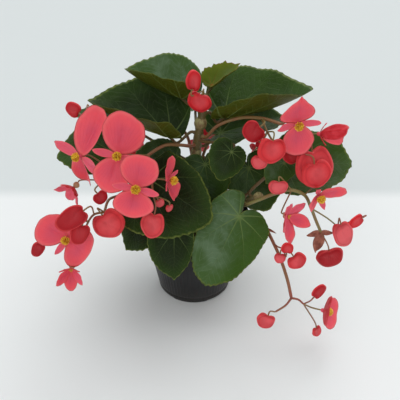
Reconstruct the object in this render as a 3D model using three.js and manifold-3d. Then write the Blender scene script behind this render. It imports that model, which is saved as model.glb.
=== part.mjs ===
// A potted begonia: cane stems with winged leaves and coral flowers, in a plain black nursery pot.
// Millimetres, +Z up. The origin is the middle of the pot's base, on the surface that it stands on.
// The plant's front faces -Y, and +X is to the right of someone looking at that front.
import * as THREE from 'three';
import { mergeVertices } from 'three/addons/utils/BufferGeometryUtils.js';
import Module from 'manifold-3d';

const wasm = await Module();
wasm.setup();

// Pot
const POT_HEIGHT = 104;
const POT_BASE_RADIUS = 44;
const POT_WALL_RADIUS = 59.5;
const POT_RIM_RADIUS = 64.5;
const POT_RIM_HEIGHT = 12;
const POT_WALL = 1.6;
const POT_FLOOR = 4;
const DRAIN_RADIUS = 4.5;
const DRAIN_CIRCLE = 27;
const DRAIN_COUNT = 5;
const POT_SIDES = 28;
// The base's edge stands on feet, with low gaps between them: their number, width and height, how far
// they reach in, and the heading of the first one's middle in degrees
const FOOT_GAPS = 4;
const FOOT_GAP_WIDTH = 25;
const FOOT_GAP_HEIGHT = 2.2;
const FOOT_GAP_DEPTH = 3;
const FOOT_GAP_HEADING = -51;

// Soil and the plant's crown in it
const SOIL_LEVEL = 90;
const SOIL_DOME = 3;
const CROWN_RADIUS = 17;
const CROWN_DEPTH = 16;
const CROWN_TOP = 97;

// Clearance between two pieces that touch
const GAP = 0.3;

// Thin parts
const LEAF_THICKNESS = 1;
const TEPAL_THICKNESS = 0.8;
const BRACT_THICKNESS = 0.8;
const CREASE = 0.04;
const TOOTH = 0.035;
const LEAF_RIPPLE = 0.02;
const LEAF_WAVES = 5;
const LARGE_LEAF_POINTS = 30;

// Stalks
const STEM_SIDES = 7;
const STALK_SIDES = 5;
const PEDICEL_SIDES = 4;
const PETIOLE_RADIUS = 1.8;
// The last points of a petiole, seen from the blade's base with X along its midrib
const PETIOLE_END = [[-9, 0, -6], [-3, 0, -3], [1, 0, -1]];

// Flowers
const RECEPTACLE_RADIUS = 2.2;
const RECEPTACLE_DEPTH = 1;
const STAMEN_RADIUS = 4.6;
const STAMEN_FOOT_RADIUS = 1.6;
const STAMEN_HEIGHT = 5.8;
const OVARY_RADIUS = 3;
const OVARY_STRETCH = 1.5;
const BROAD_TEPAL_POINTS = 10;
const NARROW_TEPAL_POINTS = 6;
const NARROW_TEPAL_WIDTH = 0.5;
const TEPAL_CURL = 15;
const TEPAL_BEND = -10;
const PEDICEL_RADIUS = 0.9;
// How far behind a flower's middle its pedicel turns square to it
const PEDICEL_BACK = 11;
const BUD_SIDES = 8;
const BUD_FLATNESS = 0.4;
const BUD_NOTCH = 0.35;

const DEGREE = Math.PI / 180;

// A leaf's outline: [degrees from the tip, distance from the petiole as a share of its length]
const LEAF_RADIUS = [
  [0, 1],
  [12, 0.9],
  [32, 0.775],
  [60, 0.64],
  [90, 0.56],
  [120, 0.47],
  [145, 0.37],
  [163, 0.29],
  [180, 0.1],
];

const COLOURS = {
  pot: { color: 0x2b2b2f, roughness: 0.55, metalness: 0 },
  soil: { color: 0x3a2a1e, roughness: 1, metalness: 0 },
  stem: { color: 0x8a7a42, roughness: 0.6, metalness: 0 },
  spray: { color: 0xc4564f, roughness: 0.55, metalness: 0 },
  leaf: { color: 0x2f4f26, roughness: 0.35, metalness: 0 },
  young: { color: 0x6f7a22, roughness: 0.4, metalness: 0 },
  tepal: { color: 0xdc4654, roughness: 0.5, metalness: 0 },
  stamens: { color: 0xe6b422, roughness: 0.7, metalness: 0 },
};

// The three canes: the points on each one's middle line, and its radius
const CANES = {
  main: {
    radius: 4.6,
    points: [[0, 3, 84], [-1, 5, 120], [2, 4, 155], [4, 2, 188], [9, 2, 220], [12, 3, 246]],
  },
  right: {
    radius: 3.6,
    points: [[7, -6, 84], [11, -10, 100], [28, -24, 118], [48, -35, 134], [72, -40, 150]],
  },
  left: {
    radius: 3.4,
    points: [[-7, -4, 84], [-10, -7, 100], [-24, -18, 122], [-38, -26, 146]],
  },
};

// The papery swellings where the leaves leave the canes: [cane, height, half length, half width]
const STIPULES = [
  ['main', 214, 9, 6.6],
  ['main', 180, 7, 6],
  ['right', 148, 6, 5],
];

// Leaves. base is where the blade meets its petiole, tip is its point, and face is the way its upper
// side looks. bend turns the midrib down along its length, fold raises the left and right halves from
// it, and curl adds to that towards the edge, all in degrees. skew widens the left half over the right,
// wide scales both, lobes is how long the left and right lobes beside the petiole are, and full rounds the
// sides out.
const LEAVES = [
  {
    name: 'leaf_crown_left', cane: 'main', height: 234, base: [-12, 16, 238], tip: [-71, 22, 266],
    face: [0, 0, 1], bend: -22, fold: [45, 46], curl: 20,
    skew: -0.15, wide: 1.03, lobes: [0.6, 0.85], count: 32,
  },
  {
    name: 'leaf_back_left', cane: 'main', height: 203, base: [-25, -2, 201], tip: [-110, 4, 238],
    face: [0, 0, 1], bend: -22, fold: [36, 40], curl: 20,
    skew: -0.15, wide: 1.08, lobes: [0.4, 0.4], count: 32,
  },
  {
    name: 'leaf_crown_right', cane: 'main', height: 226, base: [34, 8, 219], tip: [127, 20, 245],
    face: [0, 0, 1], bend: -30, fold: [34, 36], curl: 18,
    skew: 0.05, wide: 1.1, lobes: [0.5, 0.5], count: 36,
  },
  {
    name: 'leaf_young', cane: 'main', height: 240, base: [20, 18, 250], tip: [48, 30, 268],
    face: [-4, -3, 8], bend: -10, fold: [40, 30], curl: 30,
    skew: 0, wide: 0.9, lobes: [0.5, 0.5], count: 20,
    look: 'young',
  },
  {
    name: 'leaf_right_low', cane: 'main', height: 187, base: [30, 10, 199], tip: [102, 26, 211],
    face: [0, -2, 9], bend: 10, fold: [18, 15], curl: 10,
    skew: 0, wide: 0.8, lobes: [0.5, 0.55], count: 20,
  },
  {
    name: 'leaf_front_small', cane: 'main', height: 197, base: [39, -42, 202], tip: [27, -60, 179],
    face: [1, -8, 6], bend: 5, fold: [5, 5], curl: 10,
    skew: -0.15, wide: 1.04, lobes: [0.95, 1.05], count: 24,
  },
  {
    name: 'leaf_front_left', cane: 'left', height: 138, base: [-44, -42, 170], tip: [20, -84, 148],
    face: [-1, -6, 7], bend: 10, fold: [5, 5], curl: 12,
    skew: -0.22, wide: 1, lobes: [0.4, 0.4], count: 32,
  },
  {
    name: 'leaf_front_big', cane: 'right', height: 122, base: [48, -59, 136], tip: [11, -86, 67],
    face: [1, -8, 4], bend: 8, fold: [8, 8], curl: 18,
    skew: 0, wide: 0.61, lobes: [0.2, 0.95], count: 32,
    full: 0.24,
  },
  {
    name: 'leaf_front_low', cane: 'left', height: 112, base: [-19, -74, 128], tip: [-20, -87, 75],
    face: [0, -8, 3], bend: 8, fold: [5, 5], curl: 14,
    skew: -0.15, wide: 0.76, lobes: [0.8, 0.8], count: 24,
  },
  {
    name: 'leaf_left_low', cane: 'left', height: 120, base: [-48, -29, 124], tip: [-75, -46, 83],
    face: [-4, -7, 5], bend: 20, fold: [5, 5], curl: 15,
    skew: 0.1, wide: 1, lobes: [0.6, 0.6], count: 20,
  },
  {
    name: 'leaf_left_mid', cane: 'main', height: 162, base: [-22, -4, 174], tip: [-64, -14, 182],
    face: [0, -5, 8], bend: 20, fold: [10, 10], curl: 15,
    skew: 0, wide: 0.9, lobes: [0.6, 0.6], count: 20,
  },
  {
    name: 'leaf_left_out', cane: 'left', height: 144, base: [-90, -4, 185], tip: [-143, -22, 185],
    face: [-2, -6, 7], bend: 15, fold: [10, 10], curl: 15,
    skew: 0, wide: 1, lobes: [0.8, 0.8], count: 20,
  },
  {
    name: 'leaf_left_far', cane: 'main', height: 168, base: [-76, 14, 212], tip: [-128, 4, 222],
    face: [0, -2, 9], bend: 15, fold: [10, 10], curl: 15,
    skew: 0, wide: 0.7, lobes: [0.5, 0.5], count: 20,
  },
  {
    name: 'leaf_mid_a', cane: 'main', height: 160, base: [13, -14, 173], tip: [20, -36, 135],
    face: [-1, -7, 7], bend: 15, fold: [12, 12], curl: 15,
    skew: 0, wide: 1.1, lobes: [0.9, 0.9], count: 20,
  },
  {
    name: 'leaf_mid_b', cane: 'main', height: 154, base: [62, 2, 160], tip: [83, -20, 117],
    face: [1, -7, 7], bend: 15, fold: [12, 12], curl: 15,
    skew: 0, wide: 1.15, lobes: [0.9, 0.9], count: 20,
  },
  {
    name: 'leaf_right_out', cane: 'right', height: 138, base: [101, -14, 174], tip: [166, -26, 180],
    face: [0, -4, 6], bend: 15, fold: [10, 0], curl: 8,
    skew: 0, wide: 0.8, lobes: [0.6, 0.6], count: 28, full: 0.24,
  },
  {
    name: 'leaf_right_small', cane: 'right', height: 144, base: [95, -30, 183], tip: [76, -42, 166],
    face: [0, -7, 6], bend: 15, fold: [12, 12], curl: 15,
    skew: 0, wide: 1.0, lobes: [0.8, 0.8], count: 20,
  },
  {
    name: 'leaf_back_high', cane: 'main', height: 196, base: [2, 54, 212], tip: [0, 112, 202],
    face: [0, 2, 9], bend: 25, fold: [12, 12], curl: 15,
    skew: 0.1, wide: 1, lobes: [0.8, 0.8], count: 20,
  },
  {
    name: 'leaf_back_right', cane: 'main', height: 192, base: [50, 36, 192], tip: [108, 62, 188],
    face: [0, 1, 9], bend: 25, fold: [12, 12], curl: 15,
    skew: 0.1, wide: 0.85, lobes: [0.8, 0.8], count: 20,
  },
  {
    name: 'leaf_back_mid', cane: 'main', height: 140, base: [-4, 34, 142], tip: [-8, 102, 108],
    face: [0, 5, 8], bend: 25, fold: [8, 8], curl: 15,
    skew: 0.1, wide: 0.85, lobes: [0.8, 0.8], count: 20,
  },
  {
    name: 'leaf_back_low_left', cane: 'main', height: 120, base: [-38, 22, 128], tip: [-86, 62, 96],
    face: [-3, 3, 8], bend: 25, fold: [8, 8], curl: 15,
    skew: 0.1, wide: 0.9, lobes: [0.8, 0.8], count: 20,
  },
  {
    name: 'leaf_back_low_right', cane: 'main', height: 128, base: [50, 24, 130], tip: [100, 58, 100],
    face: [3, 3, 8], bend: 25, fold: [8, 8], curl: 15,
    skew: 0.1, wide: 0.9, lobes: [0.8, 0.8], count: 20,
  },
];

// Male flowers. Each has an upper and a lower broad tepal and two narrow ones, and a knot of stamens.
// facing and lift aim it, and spin turns its upper tepal to the left as seen from its front. size is
// the length of the upper, lower and narrow tepals, and open how far they lean forward, in degrees.
// broad is the width of the upper and lower tepals over their length, and point draws the upper's tip out.
const BLOOMS = [
  {
    name: 'bloom_left_top', at: [-68, -80, 217], facing: -92, lift: 22, spin: -15,
    size: [41, 34, 23], open: [8, 8, 15], broad: [1.05, 1.05],
  },
  {
    name: 'bloom_left_low', at: [-50, -104, 196], facing: -88, lift: 22, spin: -14,
    size: [33, 26, 22], open: [10, 20, 15], broad: [1.12, 1.5],
  },
  {
    name: 'bloom_left_out', at: [-108, -60, 206], facing: -128, lift: 15, spin: -11,
    size: [52, 36, 34], open: [-22, -36, 4], broad: [0.75, 0.95],
  },
  {
    name: 'bloom_left_edge', at: [-23, -74, 188], facing: -20, lift: 5, spin: 10,
    size: [26, 22, 16], open: [5, 5, 10], broad: [1.1, 1.1],
  },
  {
    name: 'bloom_left_drop', at: [-121, -99, 137], facing: -100, lift: 15, spin: 56,
    size: [31, 27, 19], open: [10, 8, 20], broad: [1.35, 1.75],
  },
  {
    name: 'bloom_right_top', at: [99, -53, 237], facing: -78, lift: -5, spin: 6,
    size: [33, 31, 22], open: [12, 6, 10], broad: [1.65, 1.1], point: 0.7,
  },
  {
    name: 'bloom_right_side', at: [126, -36, 219], facing: -10, lift: 2, spin: 50,
    size: [32, 31, 13], open: [46, 48, 26], broad: [0.55, 0.6],
  },
  {
    name: 'bloom_right_nod', at: [126, -66, 166], facing: -75, lift: -15, spin: -64,
    size: [26, 19, 18], open: [15, 35, 15], broad: [0.75, 0.8],
  },
  {
    name: 'bloom_front_low', at: [134, -116, 58], facing: -20, lift: 0, spin: 38,
    size: [20, 24, 14], open: [14, 32, 15], broad: [1.6, 1.5],
  },
  {
    name: 'bloom_back_left', at: [-52, 78, 186], facing: 120, lift: 20, spin: 10,
    size: [34, 32, 22], open: [12, 18, 20], broad: [1.15, 1.15],
  },
  {
    name: 'bloom_back_right', at: [62, 84, 178], facing: 70, lift: 15, spin: -15,
    size: [34, 32, 22], open: [12, 18, 20], broad: [1.15, 1.15],
  },
  {
    name: 'bloom_back_low', at: [14, 104, 146], facing: 95, lift: 10, spin: 30,
    size: [30, 28, 20], open: [15, 20, 25], broad: [1.15, 1.15],
  },
];

// Sprays. Each is a stalk from a cane, its branches, and what they carry: the stalks of the blooms
// above, flat buds, half-open and female flowers, and bracts. Points on a branch are in millimetres.
const SPRAYS = [
  {
    name: 'spray_left', cane: 'main', height: 190,
    branches: [
      [2, [[-13, -20, 199], [-28, -33, 205], [-44, -45, 200], [-58, -56, 190]]],
      [1.2, [[-58, -56, 190], [-76, -54, 184], [-92, -46, 172]]],
      [1.2, [[-44, -45, 200], [-40, -66, 184], [-38, -76, 172]]],
      [1, [[-76, -54, 184], [-80, -30, 206], [-105, -16, 242]]],
    ],
    blooms: [
      ['bloom_left_top', [-44, -45, 200]],
      ['bloom_left_low', [-40, -66, 184]],
      ['bloom_left_out', [-76, -54, 184]],
      ['bloom_left_edge', [-40, -66, 184]],
    ],
    buds: [
      {
        from: [-105, -16, 242], at: [-114, -38, 245],
        facing: -95, lift: 15, spin: -120, size: 14, tall: 1.25,
      },
      { from: [-76, -54, 184], at: [-88, -84, 175], facing: -80, lift: 20, spin: 30, size: 15, tall: 0.9 },
      { from: [-38, -76, 172], at: [-31, -88, 171], facing: -70, lift: 10, spin: 20, size: 9, tall: 1.1 },
      { from: [-38, -76, 172], at: [-22, -86, 164], facing: -60, lift: 0, spin: 0, size: 8, tall: 1.1 },
      {
        from: [-38, -76, 172], at: [-37, -106, 159],
        facing: -88, lift: 20, spin: -12, size: 22, tall: 1.3,
      },
    ],
    flowers: [
      { from: [-92, -46, 172], at: [-121, -52, 167], facing: -130, lift: -30, spin: 0, size: 18, open: 30 },
    ],
    bracts: [],
  },
  {
    name: 'spray_left_low', cane: 'left', height: 130,
    branches: [
      [1.6, [[-59, -30, 146], [-80, -58, 159], [-83, -76, 165], [-84, -92, 163]]],
      [1.2, [[-84, -92, 163], [-93, -96, 163], [-99, -98, 156], [-105, -98, 141]]],
      [1, [[-105, -98, 141], [-114, -94, 126], [-119, -94, 114]]],
      [1, [[-99, -98, 156], [-118, -84, 152], [-138, -84, 142]]],
    ],
    blooms: [['bloom_left_drop', [-105, -98, 141]]],
    buds: [
      { from: [-84, -92, 163], at: [-80, -98, 154], facing: -85, lift: 15, spin: 30, size: 30, tall: 1.08 },
      {
        from: [-93, -96, 163], at: [-109, -112, 170],
        facing: -80, lift: 30, spin: -62, size: 21, tall: 1.6,
      },
      {
        from: [-99, -98, 156], at: [-104, -114, 154],
        facing: -70, lift: 15, spin: -25, size: 18, tall: 1.3,
      },
      {
        from: [-138, -84, 142], at: [-155, -92, 119],
        facing: -90, lift: 10, spin: -30, size: 13, tall: 1.5,
      },
    ],
    flowers: [
      {
        from: [-119, -94, 114], at: [-120, -108, 106],
        facing: -85, lift: -15, spin: 30, size: 17, open: 45,
      },
    ],
    bracts: [],
  },
  {
    name: 'spray_top', cane: 'main', height: 241,
    branches: [[1.5, [[11, -4, 252]]]],
    blooms: [],
    buds: [
      { from: [11, -4, 252], at: [7, -13, 244], facing: -85, lift: 15, spin: -20, size: 26, tall: 0.8 },
      { from: [11, -4, 252], at: [1, -12, 264], facing: -60, lift: 15, spin: 160, size: 17, tall: 1.35 },
    ],
    flowers: [],
    bracts: [],
  },
  {
    name: 'spray_right', cane: 'main', height: 201,
    branches: [
      [2, [[26, -9, 216], [47, -13, 226], [69, -28, 232], [87, -40, 231]]],
      [1.2, [[69, -28, 232], [73, -42, 224], [82, -46, 212], [100, -46, 202]]],
      [1, [[73, -42, 224], [68, -50, 216], [66, -54, 210]]],
    ],
    blooms: [
      ['bloom_right_top', [87, -40, 231]],
      ['bloom_right_side', [87, -40, 231]],
    ],
    buds: [
      { from: [69, -28, 232], at: [59, -50, 228], facing: -95, lift: 20, spin: -50, size: 23, tall: 0.9 },
      { from: [73, -42, 224], at: [75, -67, 217], facing: -80, lift: 20, spin: -10, size: 28, tall: 0.95 },
      { from: [82, -46, 212], at: [100, -36, 195], facing: -70, lift: 20, spin: -40, size: 20, tall: 0.9 },
      { from: [66, -54, 210], at: [65, -61, 201], facing: -100, lift: 10, spin: 0, size: 17, tall: 0.9 },
      { from: [100, -46, 202], at: [121, -64, 190], facing: -85, lift: 20, spin: 15, size: 30, tall: 1 },
      { from: [100, -46, 202], at: [121, -52, 192], facing: -80, lift: 20, spin: 10, size: 38, tall: 1.22 },
    ],
    flowers: [],
    bracts: [],
  },
  {
    name: 'spray_right_low', cane: 'right', height: 140,
    branches: [
      [2, [
        [84, -56, 162], [98, -66, 172], [111, -67, 167], [121, -62, 148], [129, -59, 130], [136, -57, 115],
      ]],
      [0.9, [[121, -62, 148], [142, -54, 130], [155, -52, 118]]],
    ],
    blooms: [['bloom_right_nod', [111, -67, 167]]],
    buds: [
      { from: [98, -66, 172], at: [84, -70, 178], facing: -85, lift: 20, spin: -5, size: 19, tall: 0.85 },
      { from: [155, -52, 118], at: [159, -60, 115], facing: -80, lift: 15, spin: 15, size: 23, tall: 1.4 },
      { from: [155, -52, 118], at: [174, -52, 125], facing: -70, lift: 20, spin: -72, size: 13, tall: 1.7 },
      { from: [136, -57, 115], at: [149, -62, 85], facing: -90, lift: 5, spin: 15, size: 31, tall: 0.82 },
    ],
    flowers: [
      { from: [98, -66, 172], at: [95, -78, 149], facing: -52, lift: 5, spin: 20, size: 24, open: 20 },
    ],
    bracts: [
      { at: [136, -57, 115], to: [121, -60, 111], wide: 0.7 },
      { at: [136, -57, 115], to: [133, -62, 89], wide: 0.7 },
      { at: [136, -57, 115], to: [149, -60, 115], wide: 0.7 },
    ],
  },
  {
    name: 'spray_front', cane: 'right', height: 132,
    branches: [
      [2, [[68, -48, 130], [77, -57, 120], [83, -70, 113], [90, -88, 103], [96, -106, 89], [99, -118, 77]]],
      [1.2, [[99, -118, 77], [94, -118, 67], [84, -120, 60]]],
      [1.2, [[99, -118, 77], [106, -118, 75], [112, -118, 69]]],
      [0.9, [[83, -70, 113], [86, -84, 116], [91, -93, 120]]],
    ],
    blooms: [['bloom_front_low', [112, -118, 69]]],
    buds: [
      { from: [84, -120, 60], at: [75, -122, 50], facing: -90, lift: 15, spin: -20, size: 20, tall: 0.9 },
      { from: [112, -118, 69], at: [125, -119, 86], facing: -70, lift: 10, spin: 130, size: 13, tall: 1.5 },
      { from: [112, -118, 69], at: [133, -110, 22], facing: -60, lift: 10, spin: 10, size: 12, tall: 1.3 },
      { from: [91, -93, 120], at: [104, -100, 110], facing: -85, lift: 15, spin: 35, size: 19, tall: 1 },
      { from: [91, -93, 120], at: [93, -101, 126], facing: -80, lift: 15, spin: 170, size: 13, tall: 1 },
      { from: [91, -93, 120], at: [87, -100, 114], facing: -100, lift: 15, spin: 0, size: 12, tall: 1 },
    ],
    flowers: [],
    bracts: [
      { at: [77, -57, 120], to: [72, -66, 124], wide: 0.35 },
      { at: [77, -57, 120], to: [88, -62, 116], wide: 0.35 },
    ],
  },
  {
    name: 'spray_back_left', cane: 'main', height: 167,
    branches: [
      [2, [[-8, 30, 188], [-24, 50, 194], [-40, 62, 192]]],
      [1.2, [[-40, 62, 192], [-60, 64, 180], [-76, 66, 166]]],
    ],
    blooms: [['bloom_back_left', [-40, 62, 192]]],
    buds: [
      { from: [-76, 66, 166], at: [-88, 74, 156], facing: 130, lift: 10, spin: 10, size: 24, tall: 0.9 },
    ],
    flowers: [
      { from: [-76, 66, 166], at: [-72, 78, 146], facing: 120, lift: -20, spin: 0, size: 17, open: 25 },
    ],
    bracts: [],
  },
  {
    name: 'spray_back_right', cane: 'main', height: 156,
    branches: [
      [2, [[16, 28, 176], [34, 52, 184], [48, 68, 182]]],
      [1.2, [[34, 52, 184], [28, 74, 172], [18, 88, 158]]],
      [1.2, [[48, 68, 182], [70, 66, 172], [84, 66, 158]]],
    ],
    blooms: [
      ['bloom_back_right', [48, 68, 182]],
      ['bloom_back_low', [18, 88, 158]],
    ],
    buds: [
      { from: [84, 66, 158], at: [94, 74, 148], facing: 50, lift: 10, spin: 0, size: 26, tall: 0.9 },
    ],
    flowers: [
      { from: [84, 66, 158], at: [80, 84, 142], facing: 60, lift: -20, spin: 0, size: 17, open: 25 },
    ],
    bracts: [],
  },
];

function vector(point) {
  return new THREE.Vector3(...point);
}

function mix(from, to, share) {
  return from + (to - from) * share;
}

// The height at x of a smooth curve through rising [x, y] pairs
function through(pairs, x) {
  const last = pairs.length - 1;
  let k = 0;
  while (k < last - 1 && x > pairs[k + 1][0]) {
    k += 1;
  }
  const slope = (i) => {
    const before = pairs[Math.max(i - 1, 0)];
    const after = pairs[Math.min(i + 1, last)];
    return (after[1] - before[1]) / (after[0] - before[0]);
  };
  const [x0, y0] = pairs[k];
  const [x1, y1] = pairs[k + 1];
  const width = x1 - x0;
  const t = (x - x0) / width;
  const s = 1 - t;
  const ends = y0 * (1 + 2 * t) * s * s + y1 * (3 - 2 * t) * t * t;
  return ends + width * (slope(k) * t * s * s - slope(k + 1) * t * t * s);
}

// A solid from a list of [x, y, z] points and a list of triangles
function solidFrom(points, triangles) {
  return new wasm.Manifold(new wasm.Mesh({
    numProp: 3,
    vertProperties: new Float32Array(points.flat()),
    triVerts: new Uint32Array(triangles.flat()),
  }));
}

function solidOf(geometry) {
  geometry.deleteAttribute('normal');
  geometry.deleteAttribute('uv');
  const merged = mergeVertices(geometry);
  return new wasm.Manifold(new wasm.Mesh({
    numProp: 3,
    vertProperties: new Float32Array(merged.attributes.position.array),
    triVerts: new Uint32Array(merged.index.array),
  }));
}

function fuse(solids) {
  return solids.reduce((whole, solid) => whole.add(solid));
}

function meshOf(name, solid, look) {
  const { vertProperties, triVerts } = solid.getMesh();
  const geometry = new THREE.BufferGeometry();
  geometry.setAttribute('position', new THREE.BufferAttribute(new Float32Array(vertProperties), 3));
  geometry.setIndex(new THREE.BufferAttribute(new Uint32Array(triVerts), 1));
  const mesh = new THREE.Mesh(geometry, new THREE.MeshStandardMaterial(COLOURS[look]));
  mesh.name = name;
  return mesh;
}

// A tube of one radius along a smooth curve through the points
function tube(points, radius, sides, steps) {
  const ring = [];
  for (let i = 0; i < sides; i += 1) {
    const angle = (2 * Math.PI * i) / sides;
    ring.push(new THREE.Vector2(radius * Math.cos(angle), radius * Math.sin(angle)));
  }
  const path = new THREE.CatmullRomCurve3(points.map(vector), false, 'centripetal');
  return solidOf(new THREE.ExtrudeGeometry(new THREE.Shape(ring), {
    steps,
    extrudePath: path,
    bevelEnabled: false,
  }));
}

function turned(profile, sides) {
  return solidOf(new THREE.LatheGeometry(profile.map(([r, z]) => new THREE.Vector2(r, z)), sides)
    .rotateX(Math.PI / 2));
}

// The outline of a leaf, in leaf lengths, anticlockwise from the notch where the petiole meets it
function leafOutline(count, skew, wide, lobes, full) {
  const points = [];
  for (let i = 0; i < count; i += 1) {
    const angle = -Math.PI + (2 * Math.PI * i) / count;
    const rim = Math.min((Math.PI - Math.abs(angle)) * 3, 1);
    const tooth = (i % 2 === 1 ? TOOTH : -0.3 * TOOTH) * rim;
    const behind = Math.max(-Math.cos(angle), 0);
    const lobe = lobes[angle > 0 ? 0 : 1];
    const round = 1 + full * Math.sin(Math.min(1.3 * Math.abs(angle), Math.PI));
    const plain = through(LEAF_RADIUS, Math.abs(angle) / DEGREE) * (1 - (1 - lobe) * behind) * round;
    const radius = plain * (1 + skew * Math.sin(angle)) * (1 + tooth);
    points.push([radius * Math.cos(angle), radius * Math.sin(angle) * wide]);
  }
  return points;
}

// The outline of a tepal or bract, in its own lengths, from its root
function tepalOutline(count, width, taper, point) {
  const points = [];
  for (let i = 0; i < count; i += 1) {
    const angle = (2 * Math.PI * i) / count;
    const along = 0.5 - 0.5 * Math.cos(angle);
    const waist = Math.abs(Math.sin(angle / 2)) ** taper;
    const across = (width / 2) * Math.sin(angle) * waist * (1 - 0.999 * along) ** point;
    points.push([along, -across]);
  }
  return points;
}

// A thin sheet inside an outline, with rings of points from its hub to its rim. place gives the point
// of the sheet's middle at a, b and at a share of the way out. Both faces are split into triangles alike.
function sheet({ outline, hub, rings, thickness, place }) {
  const count = outline.length;
  const middle = [place(hub, 0, 0)];
  for (let ring = 1; ring <= rings; ring += 1) {
    const share = ring / rings;
    for (const [a, b] of outline) {
      middle.push(place(mix(hub, a, share), b * share, share));
    }
  }
  const faces = [];
  for (let i = 0; i < count; i += 1) {
    const j = (i + 1) % count;
    faces.push([0, 1 + i, 1 + j]);
    for (let ring = 0; ring < rings - 1; ring += 1) {
      const inner = 1 + ring * count;
      const outer = inner + count;
      faces.push([inner + i, outer + i, outer + j], [inner + i, outer + j, inner + j]);
    }
  }
  const normals = middle.map(() => new THREE.Vector3());
  for (const [i, j, k] of faces) {
    const one = middle[j].clone().sub(middle[i]);
    const two = middle[k].clone().sub(middle[i]);
    const normal = one.cross(two);
    normals[i].add(normal);
    normals[j].add(normal);
    normals[k].add(normal);
  }
  const top = middle.map((point, i) => point.clone().addScaledVector(normals[i].normalize(), thickness / 2));
  const under = middle.map((point, i) => point.clone().addScaledVector(normals[i], -thickness / 2));
  const shift = middle.length;
  const sides = [];
  for (let i = 0; i < count; i += 1) {
    const a = 1 + (rings - 1) * count + i;
    const b = 1 + (rings - 1) * count + ((i + 1) % count);
    sides.push([a + shift, b + shift, b], [a + shift, b, a]);
  }
  const back = faces.map(([i, j, k]) => [i + shift, k + shift, j + shift]);
  return solidFrom([...top, ...under].map((p) => p.toArray()), [...faces, ...back, ...sides]);
}

// A thin blade, its outline given in its own lengths, folded up along its midrib on X and bent along it.
// fold is the angle of the left and the right half at the midrib, curl what they gain by one length
// from it, and bend the angle that the midrib turns down over its length.
function blade({ outline, hub, length, fold, curl, bend, rings, ripple = 0, thickness }) {
  const turn = (bend * DEGREE || 1e-6) / length;
  const roll = (curl * DEGREE || 1e-6) / length;
  const place = (alongShare, acrossShare, share) => {
    const a = alongShare * length;
    const b = acrossShare * length;
    const soft = CREASE * length;
    const reach = Math.hypot(b, soft) - soft;
    const start = fold[b >= 0 ? 0 : 1] * DEGREE;
    const across = (Math.sin(start + roll * reach) - Math.sin(start)) / roll;
    const rise = (Math.cos(start) - Math.cos(start + roll * reach)) / roll;
    const wave = ripple * length * share ** 3 * Math.sin(LEAF_WAVES * Math.atan2(b, a - hub * length));
    const height = rise + wave;
    return new THREE.Vector3(
      Math.sin(turn * a) * (1 / turn + height),
      Math.sign(b) * (across - reach) + b,
      height * Math.cos(turn * a) - (1 - Math.cos(turn * a)) / turn,
    );
  };
  return sheet({ outline, hub, rings, thickness, place });
}

// The point on a cane's middle line at a height, the cane's direction there and its radius
function caneAt(name, height) {
  const { radius, points } = CANES[name];
  const curve = new THREE.CatmullRomCurve3(points.map(vector), false, 'centripetal');
  let share = 0;
  while (share < 1 && curve.getPoint(share).z < height) {
    share += 0.005;
  }
  return { middle: curve.getPoint(share), along: curve.getTangent(share), radius };
}

// The first two points of a stalk that leaves a cane square to it, on the side of the target
function rootOn(cane, height, target) {
  const { middle, along, radius } = caneAt(cane, height);
  const out = vector(target).sub(middle);
  out.addScaledVector(along, -out.dot(along)).normalize();
  const foot = middle.clone().addScaledVector(out, radius + GAP + 0.1);
  const next = middle.clone().addScaledVector(out, radius + 4);
  return [foot.toArray(), next.toArray()];
}

// The matrix of a leaf's blade: X along its midrib at the base, Z out of its upper side there
function leafPlace({ base, tip, face, bend }) {
  const chord = vector(tip).sub(vector(base)).normalize();
  const up = vector(face);
  up.addScaledVector(chord, -up.dot(chord)).normalize();
  const half = (bend * DEGREE) / 2;
  const along = chord.clone().multiplyScalar(Math.cos(half)).addScaledVector(up, Math.sin(half));
  const out = up.clone().multiplyScalar(Math.cos(half)).addScaledVector(chord, -Math.sin(half));
  const left = out.clone().cross(along);
  return new THREE.Matrix4().makeBasis(along, left, out).setPosition(vector(base));
}

function leafMesh(leaf) {
  const { name, cane, height, base, tip, bend, fold, curl, skew, wide, lobes, count } = leaf;
  const { full = 0, via = [] } = leaf;
  const half = (Math.abs(bend) * DEGREE) / 2;
  const chord = vector(tip).distanceTo(vector(base));
  const length = half > 0 ? (chord * half) / Math.sin(half) : chord;
  const place = leafPlace(leaf);
  const back = place.clone().invert();
  const limb = blade({
    outline: leafOutline(count, skew, wide, lobes, full),
    hub: 0,
    length,
    fold,
    curl,
    bend,
    rings: count > LARGE_LEAF_POINTS ? 2 : 1,
    ripple: LEAF_RIPPLE,
    thickness: LEAF_THICKNESS,
  });
  const route = [...rootOn(cane, height, via[0] ?? base), ...via]
    .map((point) => vector(point).applyMatrix4(back).toArray());
  const petiole = tube([...route, ...PETIOLE_END], PETIOLE_RADIUS, STALK_SIDES, 2 * route.length + 1);
  const mesh = meshOf(name, limb.add(petiole), leaf.look ?? 'leaf');
  mesh.applyMatrix4(place);
  return mesh;
}

// A whorl of tepals facing +Z, from rows of [angle, length, width, taper, point, tilt]
function whorl(rows) {
  const count = (width) => (width > NARROW_TEPAL_WIDTH ? BROAD_TEPAL_POINTS : NARROW_TEPAL_POINTS);
  return rows.map(([angle, length, width, taper, point, tilt]) => blade({
    outline: tepalOutline(count(width), width, taper, point),
    hub: 0.5,
    length,
    fold: [0, 0],
    curl: TEPAL_CURL,
    bend: TEPAL_BEND,
    rings: 1,
    thickness: TEPAL_THICKNESS,
  }).transform(tepalPlace(angle, tilt).toArray()));
}

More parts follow.
